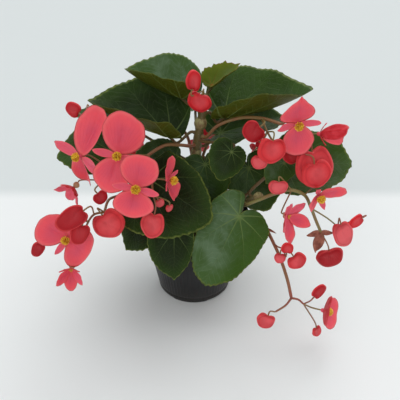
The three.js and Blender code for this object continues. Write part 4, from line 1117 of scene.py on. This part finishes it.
def crumb_forms():
    """Crumbs of soil: little uneven balls, sunk by half into the top and spread evenly over its area."""
    hole = CROWN_RADIUS + 1.5
    edge = pot_inside(SOIL_LEVEL) - 3.5
    r = np.sqrt(rng.uniform(hole**2, edge**2, CRUMBS))
    turn = rng.uniform(0, 2 * math.pi, CRUMBS)
    size = rng.uniform(0.5, 1.1, CRUMBS) ** 2 * 2.2
    height = SOIL_LEVEL + SOIL_DOME * (edge - r) / (edge - hole) + 0.3
    at = polar(r, turn, height)[:, None, None]
    t = np.linspace(0, math.pi, 5)[:, None]
    ball = polar(np.sin(t), circle(6), np.cos(t))
    stretch = rng.uniform(0.6, 1.3, (CRUMBS, 1, 1, 3)) * size[:, None, None, None]
    lumps = 1 + rng.uniform(-0.25, 0.25, (CRUMBS, 5, 6, 1))
    lumps[:, [0, -1]] = lumps[:, [0, -1], :1]
    tint = rng.uniform(0, 1, (CRUMBS, 1, 1))
    return [(at + ball * stretch * lumps, marks(0, 0, 1, np.zeros((CRUMBS, 5, 6)), tint))]


# Node helpers. Each adds its node to the tree of the sockets that it is given.


def add(kind, inputs, tree=None, **settings):
    """A node with its settings, whose inputs are given by name or number as values or sockets."""
    sockets = {key: value for key, value in inputs.items() if isinstance(value, bpy.types.NodeSocket)}
    tree = tree or next(iter(sockets.values())).id_data
    made = tree.nodes.new(kind)
    for key, value in settings.items():
        setattr(made, key, value)
    for key, value in inputs.items():
        if key in sockets:
            tree.links.new(value, made.inputs[key])
        else:
            made.inputs[key].default_value = value
    return made


def join(source, target):
    """A link from an output to an input."""
    target.id_data.links.new(source, target)


def calc(operation, a, b=0.0, c=0.0):
    """The result of a Math node."""
    return add("ShaderNodeMath", {0: a, 1: b, 2: c}, operation=operation).outputs[0]


def times(a, b, plus=None):
    """a * b, or a * b + plus."""
    return calc("MULTIPLY", a, b) if plus is None else calc("MULTIPLY_ADD", a, b, plus)


def smooth_step(value, low, high, start=0.0, end=1.0):
    """start at low and less, end at high and more, and a smooth step between."""
    inputs = {"Value": value, "From Min": low, "From Max": high, "To Min": start, "To Max": end}
    return add("ShaderNodeMapRange", inputs, interpolation_type="SMOOTHSTEP").outputs["Result"]


def blend(share, first, second):
    """Two colours mixed by a share."""
    return add("ShaderNodeMix", {0: share, 6: first, 7: second}, data_type="RGBA").outputs[2]


def noise(vector, scale, detail=3.0, rough=0.5):
    """Cloudy noise from 0 to 1."""
    inputs = {"Vector": vector, "Scale": scale, "Detail": detail, "Roughness": rough}
    return add("ShaderNodeTexNoise", inputs).outputs["Fac"]


def attribute(tree, name, output="Fac"):
    """A point attribute of the mesh."""
    return add("ShaderNodeAttribute", {}, tree, attribute_name=name).outputs[output]


def bump(height, strength, distance):
    """The normal of a surface that a height raises."""
    inputs = {"Height": height, "Strength": strength, "Distance": distance}
    return add("ShaderNodeBump", inputs).outputs["Normal"]


def coordinates(vector):
    """The three values of a vector."""
    return add("ShaderNodeSeparateXYZ", {0: vector}).outputs


def stretched(vector, scale, rotation=(0.0, 0.0, 0.0)):
    """Coordinates scaled along each axis, and turned."""
    inputs = {"Vector": vector, "Scale": scale, "Rotation": rotation}
    return add("ShaderNodeMapping", inputs).outputs[0]


def rgb(red, green, blue):
    """A colour from its 0 to 255 display values."""
    share = np.array([red, green, blue]) / 255
    linear = np.where(share < 0.04045, share / 12.92, ((share + 0.055) / 1.055) ** 2.4)
    return (*[float(v) for v in linear], 1.0)


def new_group(name, inputs, outputs):
    """A node group with sockets of the given kinds, and its input and output nodes."""
    tree = bpy.data.node_groups.new(name, "ShaderNodeTree")
    for way, sockets in (("INPUT", inputs), ("OUTPUT", outputs)):
        for key, kind in sockets.items():
            tree.interface.new_socket(key, in_out=way, socket_type=f"NodeSocket{kind}")
    return tree, tree.nodes.new("NodeGroupInput").outputs, tree.nodes.new("NodeGroupOutput").inputs


def use(group, **inputs):
    """The outputs of a node group with these inputs."""
    return add("ShaderNodeGroup", inputs, node_tree=group).outputs


def leaf_vein_group():
    """Where a leaf's veins run, from its place in leaf lengths: the main ones fan out from the petiole,
    side veins leave them slantwise at even steps, and a fine net fills the rest."""
    outputs = {"Main": "Float", "Side": "Float", "Net": "Float", "Reach": "Float"}
    tree, given, made = new_group("leaf veins", {"Place": "Vector"}, outputs)
    a, b, _ = coordinates(given["Place"])
    reach = calc("SQRT", times(a, a, times(b, b)))
    wobble = times(calc("SUBTRACT", noise(given["Place"], 5.0, 2.0), 0.5), 0.16)
    turn = calc("ADD", calc("ARCTAN2", b, a), times(b, VEIN_BOW))
    step = calc("DIVIDE", times(wobble, reach, turn), VEIN_ANGLE)
    near = calc("PINGPONG", step, 0.5)
    away = times(times(near, VEIN_ANGLE), reach)
    width = smooth_step(reach, 0.0, 0.9, 0.014, 0.005)
    join(smooth_step(calc("DIVIDE", away, width), 0.0, 1.0, 1.0, 0.0), made["Main"])
    slant = times(away, -VEIN_SLANT, calc("ADD", reach, wobble))
    rung = calc("PINGPONG", calc("DIVIDE", slant, VEIN_STEP), 0.5)
    side = smooth_step(rung, 0.0, 0.09, 1.0, 0.0)
    shown = smooth_step(reach, 0.1, 0.25)
    join(times(side, shown), made["Side"])
    cells = {"Vector": given["Place"], "Scale": 34.0}
    edge = add("ShaderNodeTexVoronoi", cells, feature="DISTANCE_TO_EDGE").outputs["Distance"]
    join(smooth_step(edge, 0.0, 0.12, 1.0, 0.0), made["Net"])
    join(reach, made["Reach"])
    return tree


def petal_vein_group():
    """Where a petal's fine veins run: lines that fan out from behind its root, broken up by noise."""
    outputs = {"Veins": "Float", "Along": "Float"}
    tree, given, made = new_group("petal veins", {"Place": "Vector"}, outputs)
    a, b, _ = coordinates(given["Place"])
    drift = times(noise(given["Place"], 4.0, 3.0), 0.9)
    turn = calc("ARCTAN2", b, calc("ADD", a, 0.12))
    line = calc("PINGPONG", times(turn, 9.0, drift), 0.5)
    shown = smooth_step(a, 1.0, 0.45)
    veins = times(smooth_step(line, 0.16, 0.0), shown)
    join(veins, made["Veins"])
    join(a, made["Along"])
    return tree


def petal_finish_group():
    """The roughness and the surface of a petal: satin with fine cells, soft folds and sunken veins."""
    inputs = {"Place": "Vector", "Veins": "Float", "Satin": "Float"}
    tree, given, made = new_group("petal finish", inputs, {"Roughness": "Float", "Normal": "Vector"})
    mottle = noise(given["Place"], 400.0)
    join(times(mottle, 0.2, given["Satin"]), made["Roughness"])
    cells = times(noise(given["Place"], 2600.0, 1.0), 0.3)
    folds = times(noise(given["Place"], 200.0, 2.0), 2.3, cells)
    height = times(given["Veins"], -0.4, folds)
    join(bump(height, 0.4, 0.0005), made["Normal"])
    return tree


def patch_group():
    """A colour between two, by soft noise at a scale."""
    inputs = {"Place": "Vector", "Scale": "Float", "Low": "Color", "High": "Color"}
    tree, given, made = new_group("patches", inputs, {"Colour": "Color", "Fac": "Float"})
    cloud = noise(given["Place"], given["Scale"], 4.0, 0.55)
    share = smooth_step(cloud, 0.32, 0.68)
    join(blend(share, given["Low"], given["High"]), made["Colour"])
    join(share, made["Fac"])
    return tree


# The greyish painted sheen on a leaf: a reflection of the light painted into its colour
PAINTED_SHEEN = rgb(112, 136, 108)

LEAF_VEINS = leaf_vein_group()
PETAL_VEINS = petal_vein_group()
PETAL_FINISH = petal_finish_group()
PATCHES = patch_group()


def patches(place, scale, low, high):
    """Soft patches of two colours."""
    return use(PATCHES, Place=place, Scale=scale, Low=low, High=high)["Colour"]


def new_material(name, colour, roughness):
    """A material, its tree, its shader's inputs, and its sockets for the object's coordinates and for the
    form attribute. Its preview colour is colour."""
    material = bpy.data.materials.new(name)
    material.use_nodes = True
    material.diffuse_color = colour
    tree = material.node_tree
    shader = tree.nodes["Principled BSDF"]
    shader.inputs["Roughness"].default_value = roughness
    place = add("ShaderNodeTexCoord", {}, tree).outputs["Object"]
    form = attribute(tree, "form", "Vector")
    return material, tree, shader.inputs, place, form


def finish(shader, colour, roughness, height, strength, distance):
    """The colour, roughness and surface of a material's shader."""
    join(colour, shader["Base Color"])
    join(roughness, shader["Roughness"])
    join(bump(height, strength, distance), shader["Normal"])


def finish_petal(shader, colour, place, veins, satin, gloss):
    """A petal's colour, the shared petal surface, and the light that passes through it."""
    join(colour, shader["Base Color"])
    surface = use(PETAL_FINISH, Place=place, Veins=veins, Satin=satin)
    join(surface["Roughness"], shader["Roughness"])
    join(surface["Normal"], shader["Normal"])
    shader["Subsurface Weight"].default_value = 0.12
    shader["Subsurface Radius"].default_value = (0.004, 0.0012, 0.001)
    shader["Subsurface Scale"].default_value = 0.5
    shader["Specular IOR Level"].default_value = gloss


def leaf_material(name, dark, light, vein, back, rim, gloss):
    """A waxy blade: patches of two greens that its tone makes fresher, lighter towards its rim, a greyish
    painted sheen in soft patches, as strong as its tone, that fades on its left half, veins palest near the
    petiole, a thin rim of another colour, and a duller lower side on which the veins stand out. Its low
    tones darken the green, partly as painted shade."""
    material, tree, shader, place, form = new_material(name, dark, gloss)
    veins = use(LEAF_VEINS, Place=form)
    _, across, side = coordinates(form)
    tint = attribute(tree, "tint")
    edge = attribute(tree, "edge")
    green = patches(place, 42.0, dark, light)
    # A low tone darkens the green towards the dark colour: on the lower leaves this is partly painted shade
    green = blend(smooth_step(tint, 0.0, 0.45, 0.05, 0.5), dark, green)
    green = blend(smooth_step(edge, 0.6, 1.0, 0.0, 0.3), green, light)
    green = blend(times(tint, 0.75), green, light)
    near = smooth_step(veins["Reach"], 0.55, 0.02, 0.16, 0.6)
    lines = times(veins["Main"], near)
    lines = calc("MAXIMUM", lines, times(veins["Side"], 0.08))
    lines = calc("MAXIMUM", lines, times(veins["Net"], 0.035))
    lines = calc("MAXIMUM", lines, smooth_step(veins["Reach"], 0.09, 0.0, 0.0, 0.7))
    # Painted sheen: greyish patches, stronger along the side veins, where the leaf is painted as reflecting
    # the light
    painted_sheen_mask = smooth_step(noise(form, 2.6, 3.0, 0.6), 0.4, 0.7, 0.15, 0.65)
    painted_sheen_mask = times(veins["Side"], 0.22, painted_sheen_mask)
    # The painted sheen grows with the tone and fades on the left half, which is painted as turned from the
    # light
    lit = times(tint, smooth_step(across, 0.28, 0.0, 0.1, 1.0))
    painted_sheen_mask = times(painted_sheen_mask, lit)
    green = blend(painted_sheen_mask, green, PAINTED_SHEEN)
    upper = blend(lines, green, vein)
    lower = blend(0.65, patches(place, 60.0, back, light), back)
    strong = times(veins["Side"], 0.35)
    strong = calc("MAXIMUM", times(veins["Main"], 0.8), strong)
    lower = blend(strong, lower, vein)
    colour = blend(side, upper, lower)
    flecked = smooth_step(noise(place, 260.0, 2.0), 0.35, 0.6, 0.35, 0.9)
    rimmed = times(smooth_step(edge, 0.962, 0.99), flecked)
    colour = blend(rimmed, colour, rim)
    shine = times(noise(place, 90.0, 4.0), 0.24, gloss - 0.12)
    shine = times(side, 0.2, shine)
    raised = calc("ADD", veins["Main"], times(veins["Side"], 0.6))
    raised = times(veins["Net"], 0.35, raised)
    grain = times(noise(place, 900.0, 2.0), 0.2)
    pucker = times(noise(place, 150.0, 3.0), 1.6, grain)
    height = times(raised, smooth_step(side, 0.4, 0.6, -0.7, 1.0), pucker)
    finish(shader, colour, shine, height, 0.5, 0.0009)
    shader["Specular IOR Level"].default_value = 0.12
    return material


def petal_material(name, root, face, back, rim, pale):
    """A thin satin petal: rose towards its middle and root, coral further out, with a bright rim that is
    partly a painted highlight and whose very edge is darkened as painted shade, fine darker veins, a deeper
    back, and a paler colour for forms whose tint is high."""
    material, tree, shader, place, form = new_material(name, face, 0.5)
    veins = use(PETAL_VEINS, Place=form)
    side = coordinates(form)[2]
    tint = attribute(tree, "tint")
    edge = attribute(tree, "edge")
    outward = times(veins["Along"], 0.45, times(edge, 0.6))
    front = blend(smooth_step(outward, 0.25, 0.85), root, face)
    front = blend(0.25, front, patches(place, 95.0, root, face))
    front = blend(smooth_step(tint, 0.64, 0.7, 0.0, 0.75), front, pale)
    # Brighter coral rim: partly the petal's colour, partly a painted highlight
    front = blend(smooth_step(edge, 0.75, 0.95, 0.0, 0.6), front, rim)
    # Painted shade: the very edge darkens towards the back colour, where it turns from the light
    front = blend(smooth_step(edge, 0.96, 1.0, 0.0, 0.5), front, back)
    front = blend(times(veins["Veins"], 0.13), front, back)
    rear = blend(smooth_step(noise(place, 110.0, 3.0), 0.35, 0.7, 0.0, 0.45), back, face)
    rear = blend(times(veins["Veins"], 0.25), rear, root)
    colour = blend(side, front, rear)
    finish_petal(shader, colour, place, veins["Veins"], 0.36, 0.25)
    return material


def bud_material(name, face, pale_and_sheen, fold, rim):
    """Plump satin bud petals: a vivid face that pales with its tint and, as a painted sheen, towards its
    middle, deeper red in patches and in a ring inside its bright rim, and darker near the notch as painted
    shade in its folds."""
    material, tree, shader, place, form = new_material(name, face, 0.42)
    veins = use(PETAL_VEINS, Place=form)
    tint = attribute(tree, "tint")
    edge = attribute(tree, "edge")
    # Painted sheen: the face pales towards its middle
    front = blend(smooth_step(edge, 0.85, 0.2, 0.0, 0.5), face, pale_and_sheen)
    front = blend(smooth_step(tint, 0.3, 1.0, 0.0, 0.85), front, pale_and_sheen)
    front = blend(smooth_step(tint, 0.4, 0.05, 0.0, 0.8), front, fold)
    patch = smooth_step(noise(place, 70.0, 2.0), 0.42, 0.68, 0.0, 0.3)
    front = blend(patch, front, fold)
    # Painted shade: deeper red towards the notch, where the tepals fold in
    front = blend(smooth_step(veins["Along"], 0.34, 0.05, 0.0, 0.85), front, fold)
    ring = calc("PINGPONG", calc("ADD", edge, 0.22), 0.5)
    front = blend(smooth_step(ring, 0.09, 0.0, 0.0, 0.3), front, fold)
    front = blend(times(veins["Veins"], 0.1), front, rim)
    colour = blend(smooth_step(edge, 0.84, 0.97, 0.0, 0.6), front, rim)
    finish_petal(shader, colour, place, veins["Veins"], 0.3, 0.22)
    return material


def stalk_material(name, low, high, fleck, gloss):
    """A smooth juicy stalk: two colours in long patches, fine streaks along it and small pale flecks."""
    material, tree, shader, place, form = new_material(name, low, gloss)
    tint = attribute(tree, "tint")
    base = blend(0.65, patches(place, 48.0, low, high), blend(tint, low, high))
    streak = noise(stretched(form, (0.12, 9.0, 1.0)), 1.6, 3.0)
    base = blend(smooth_step(streak, 0.5, 0.75, 0.0, 0.35), base, low)
    spots = {"Vector": place, "Scale": 520.0, "Randomness": 1.0}
    dot = add("ShaderNodeTexVoronoi", spots).outputs["Distance"]
    colour = blend(smooth_step(dot, 0.24, 0.1, 0.0, 0.6), base, fleck)
    shine = times(streak, 0.2, gloss - 0.1)
    height = times(smooth_step(dot, 0.3, 0.1), 0.5, streak)
    finish(shader, colour, shine, height, 0.35, 0.0004)
    return material


def papery_material(name, pale, brown):
    """Dry papery skin: pale with brown streaks along it."""
    material, _, shader, place, form = new_material(name, pale, 0.6)
    streak = noise(stretched(form, (1.0, 14.0, 1.0)), 2.2, 4.0)
    base = patches(place, 160.0, pale, brown)
    colour = blend(smooth_step(streak, 0.45, 0.7, 0.0, 0.7), base, brown)
    finish(shader, colour, times(streak, 0.25, 0.45), streak, 0.5, 0.0006)
    return material


def anther_material():
    """Grainy yellow anthers on paler filaments, some riper and deeper in colour."""
    material, tree, shader, place, _ = new_material("anthers", rgb(235, 185, 30), 0.65)
    ripe = attribute(tree, "tint")
    edge = attribute(tree, "edge")
    yellow = blend(smooth_step(ripe, 0.2, 1.0), rgb(246, 208, 52), rgb(214, 142, 16))
    yellow = blend(smooth_step(edge, 0.6, 0.45), yellow, rgb(228, 190, 90))
    grain = noise(place, 2400.0, 2.0)
    dusty = blend(smooth_step(grain, 0.55, 0.7, 0.0, 0.5), yellow, rgb(255, 232, 120))
    finish(shader, dusty, times(grain, 0.3, 0.5), grain, 0.5, 0.0003)
    return material


def pot_material():
    """Satin black moulded plastic: fine turning lines, shallow upright ribs, cloudy gloss, scuffs, and
    dust low on the wall."""
    material, _, shader, place, _ = new_material("black plastic", rgb(30, 30, 33), 0.42)
    x, y, z = coordinates(place)
    cloud = noise(place, 60.0, 5.0, 0.6)
    black = patches(place, 35.0, rgb(16, 16, 17), rgb(28, 28, 30))
    lines = noise(stretched(place, (6.0, 6.0, 1600.0)), 1.0, 2.0)
    turn = times(calc("ARCTAN2", y, x), POT_RIBS)
    ribs = smooth_step(calc("SINE", turn), 0.2, 0.9)
    scrape = stretched(place, (900.0, 60.0, 60.0), (0.4, 0.9, 0.2))
    scuff = smooth_step(noise(scrape, 1.0, 3.0), 0.66, 0.74)
    low = smooth_step(z, 0.03, 0.0)
    specks = smooth_step(noise(place, 1500.0, 2.0), 0.6, 0.72)
    settled = times(low, 0.5, 0.1)
    dust = times(settled, calc("ADD", specks, cloud))
    colour = blend(times(scuff, 0.2), black, rgb(96, 96, 102))
    colour = blend(times(dust, 0.2), colour, rgb(140, 132, 120))
    rough = times(scuff, 0.15, times(cloud, 0.22, 0.32))
    height = times(lines, 0.3, times(scuff, -0.4))
    finish(shader, colour, rough, calc("ADD", ribs, height), 0.5, 0.0005)
    shader["Specular IOR Level"].default_value = 0.35
    return material


def soil_material():
    """Moist dark compost: browns in clumps, fibres, and crumbs of which a few are pale."""
    material, tree, shader, place, form = new_material("compost", rgb(58, 42, 30), 0.9)
    side = coordinates(form)[2]
    tint = attribute(tree, "tint")
    base = use(PATCHES, Place=place, Scale=260.0, Low=rgb(34, 24, 17), High=rgb(74, 54, 38))
    fibre = noise(place, 1400.0, 5.0, 0.7)
    colour = blend(smooth_step(fibre, 0.5, 0.75, 0.0, 0.6), base["Colour"], rgb(112, 86, 60))
    lump = blend(smooth_step(tint, 0.2, 0.9), rgb(40, 28, 20), rgb(104, 78, 54))
    lump = blend(smooth_step(tint, 0.955, 0.965), lump, rgb(196, 190, 176))
    colour = blend(times(side, 0.8), colour, lump)
    finish(shader, colour, times(base["Fac"], 0.2, 0.75), fibre, 0.9, 0.0012)
    return material


def backdrop_material():
    """Pale matte paper, white near the pot and a little cooler further back."""
    material, _, shader, place, _ = new_material("pale floor", rgb(232, 234, 236), 0.85)
    back = smooth_step(coordinates(place)[1], 0.19, 0.23)
    colour = blend(back, rgb(240, 242, 242), rgb(216, 221, 221))
    mottle = noise(place, 9.0, 3.0)
    colour = blend(times(mottle, 0.12), colour, rgb(222, 225, 228))
    join(colour, shader["Base Color"])
    return material


# The pieces

LEAF = leaf_material(
    "waxy leaf", rgb(16, 27, 0), rgb(60, 92, 22), rgb(126, 148, 84), rgb(88, 92, 22), rgb(122, 134, 62), 0.34
)
YOUNG_LEAF = leaf_material(
    "young leaf", rgb(70, 88, 8), rgb(116, 132, 30), rgb(160, 96, 48), rgb(116, 118, 40), rgb(140, 76, 40),
    0.42,
)
TEPAL = petal_material(
    "coral petal", rgb(226, 82, 106), rgb(252, 88, 100), rgb(202, 30, 42), rgb(255, 116, 118),
    rgb(240, 98, 122),
)
BUD = bud_material("bud petal", rgb(222, 32, 40), rgb(240, 106, 112), rgb(158, 10, 24), rgb(240, 74, 78))
STALK = stalk_material("flower stalk", rgb(152, 70, 58), rgb(128, 124, 66), rgb(176, 134, 100), 0.42)
PETIOLE = stalk_material("leaf stalk", rgb(92, 90, 40), rgb(112, 72, 42), rgb(140, 132, 84), 0.42)
CANE = stalk_material("cane", rgb(92, 88, 46), rgb(118, 96, 56), rgb(188, 180, 140), 0.48)
SHEATH = papery_material("papery sheath", rgb(172, 166, 112), rgb(122, 96, 58))
BRACT = papery_material("dry bract", rgb(186, 116, 92), rgb(128, 62, 46))
OVARY = stalk_material("seed case", rgb(186, 196, 138), rgb(214, 120, 112), rgb(224, 226, 190), 0.5)
ANTHER = anther_material()

for index, row in enumerate(LEAVES):
    name = row["name"]
    axes = blade_axes(row["base"], row["tip"], row["face"], row["bend"])
    slot = "young_leaf" if row.get("look") == "young" else "leaf"
    material = YOUNG_LEAF if slot == "young_leaf" else LEAF
    piece(f"{name}_blade", [placed(leaf_form(row, index), axes, row["base"])], slot, material, name)
    piece(f"{name}_stalk", [petiole_form(row, axes)], "stalk", PETIOLE, name)

for name, (at, aim, *shape) in BLOOMS.items():
    piece(f"{name}_petals", bloom_forms(name, at, aim, *shape), "tepal", TEPAL, name)
    piece(f"{name}_anthers", stamen_forms(at, aim), "stamens", ANTHER, f"{name}_stamens")

# The pieces of a spray, in the order in which spray_forms gives them: name, slot and material
SPRAY_PIECES = [
    ["stalks", "stalk", STALK],
    ["buds", "tepal", BUD],
    ["female_petals", "tepal", TEPAL],
    ["seed_cases", "stalk", OVARY],
    ["stigmas", "stamens", ANTHER],
    ["bracts", "stalk", BRACT],
]
for row in SPRAYS:
    for (part, slot, material), forms in zip(SPRAY_PIECES, spray_forms(row)):
        if forms:
            piece(f"{row['name']}_{part}", forms, slot, material, row["name"])

piece("canes", [cane_form(name) for name in CANES], "stem", CANE, "stem")
piece("crown", [crown_form()], "stem", CANE, "stem")
piece("sheaths", [stipule_form(*row) for row in STIPULES], "stem", SHEATH, "stem")

pot = piece("nursery_pot", [pot_form()], "pot", pot_material(), "pot")
cut_drains(pot)
piece("compost", [soil_form(), *crumb_forms()], "soil", soil_material(), "soil")

# Floor, lights and camera

FLOOR_HALF = 3.0
floor_mesh = bpy.data.meshes.new("floor")
corners = [(x * FLOOR_HALF, y * FLOOR_HALF, 0) for x, y in ((-1, -1), (1, -1), (1, 1), (-1, 1))]
floor_mesh.from_pydata(corners, [], [(0, 1, 2, 3)])
floor = bpy.data.objects.new("floor", floor_mesh)
bpy.context.scene.collection.objects.link(floor)
floor.data.materials.append(backdrop_material())

# Suns turned to the middle of the plant: place, strength, colour, and the width of the disc in degrees
MIDDLE = Vector((0.0, 0.0, 0.12))
SUNS = {
    "sky": [(0.3, 0.3, 1.2), 1.0, (1.0, 1.0, 0.99), 60],
    "window": [(0.25, 0.8, 0.9), 0.6, (0.94, 0.98, 1.0), 45],
    "front": [(-0.7, -1.1, 1.0), 0.5, (1.0, 0.99, 0.97), 45],
}
for name, (place, strength, colour, disc) in SUNS.items():
    data = bpy.data.lights.new(name, "SUN")
    data.energy = strength
    data.color = colour
    data.angle = math.radians(disc)
    light = bpy.data.objects.new(name, data)
    light.location = place
    light.rotation_euler = (MIDDLE - Vector(place)).to_track_quat("-Z", "Y").to_euler()
    bpy.context.scene.collection.objects.link(light)

world = bpy.data.worlds.new("room")
world.use_nodes = True
world.node_tree.nodes["Background"].inputs["Color"].default_value = rgb(232, 235, 236)
world.node_tree.nodes["Background"].inputs["Strength"].default_value = 0.62
bpy.context.scene.world = world
bpy.context.scene.view_settings.view_transform = "Standard"

camera_data = bpy.data.cameras.new("camera")
camera_data.lens = 45
camera_data.sensor_width = 36
camera = bpy.data.objects.new("camera", camera_data)
camera.location = (0.0074, -0.491, 0.426)
camera.rotation_euler = (math.radians(58), 0, 0)
bpy.context.scene.collection.objects.link(camera)
bpy.context.scene.camera = camera
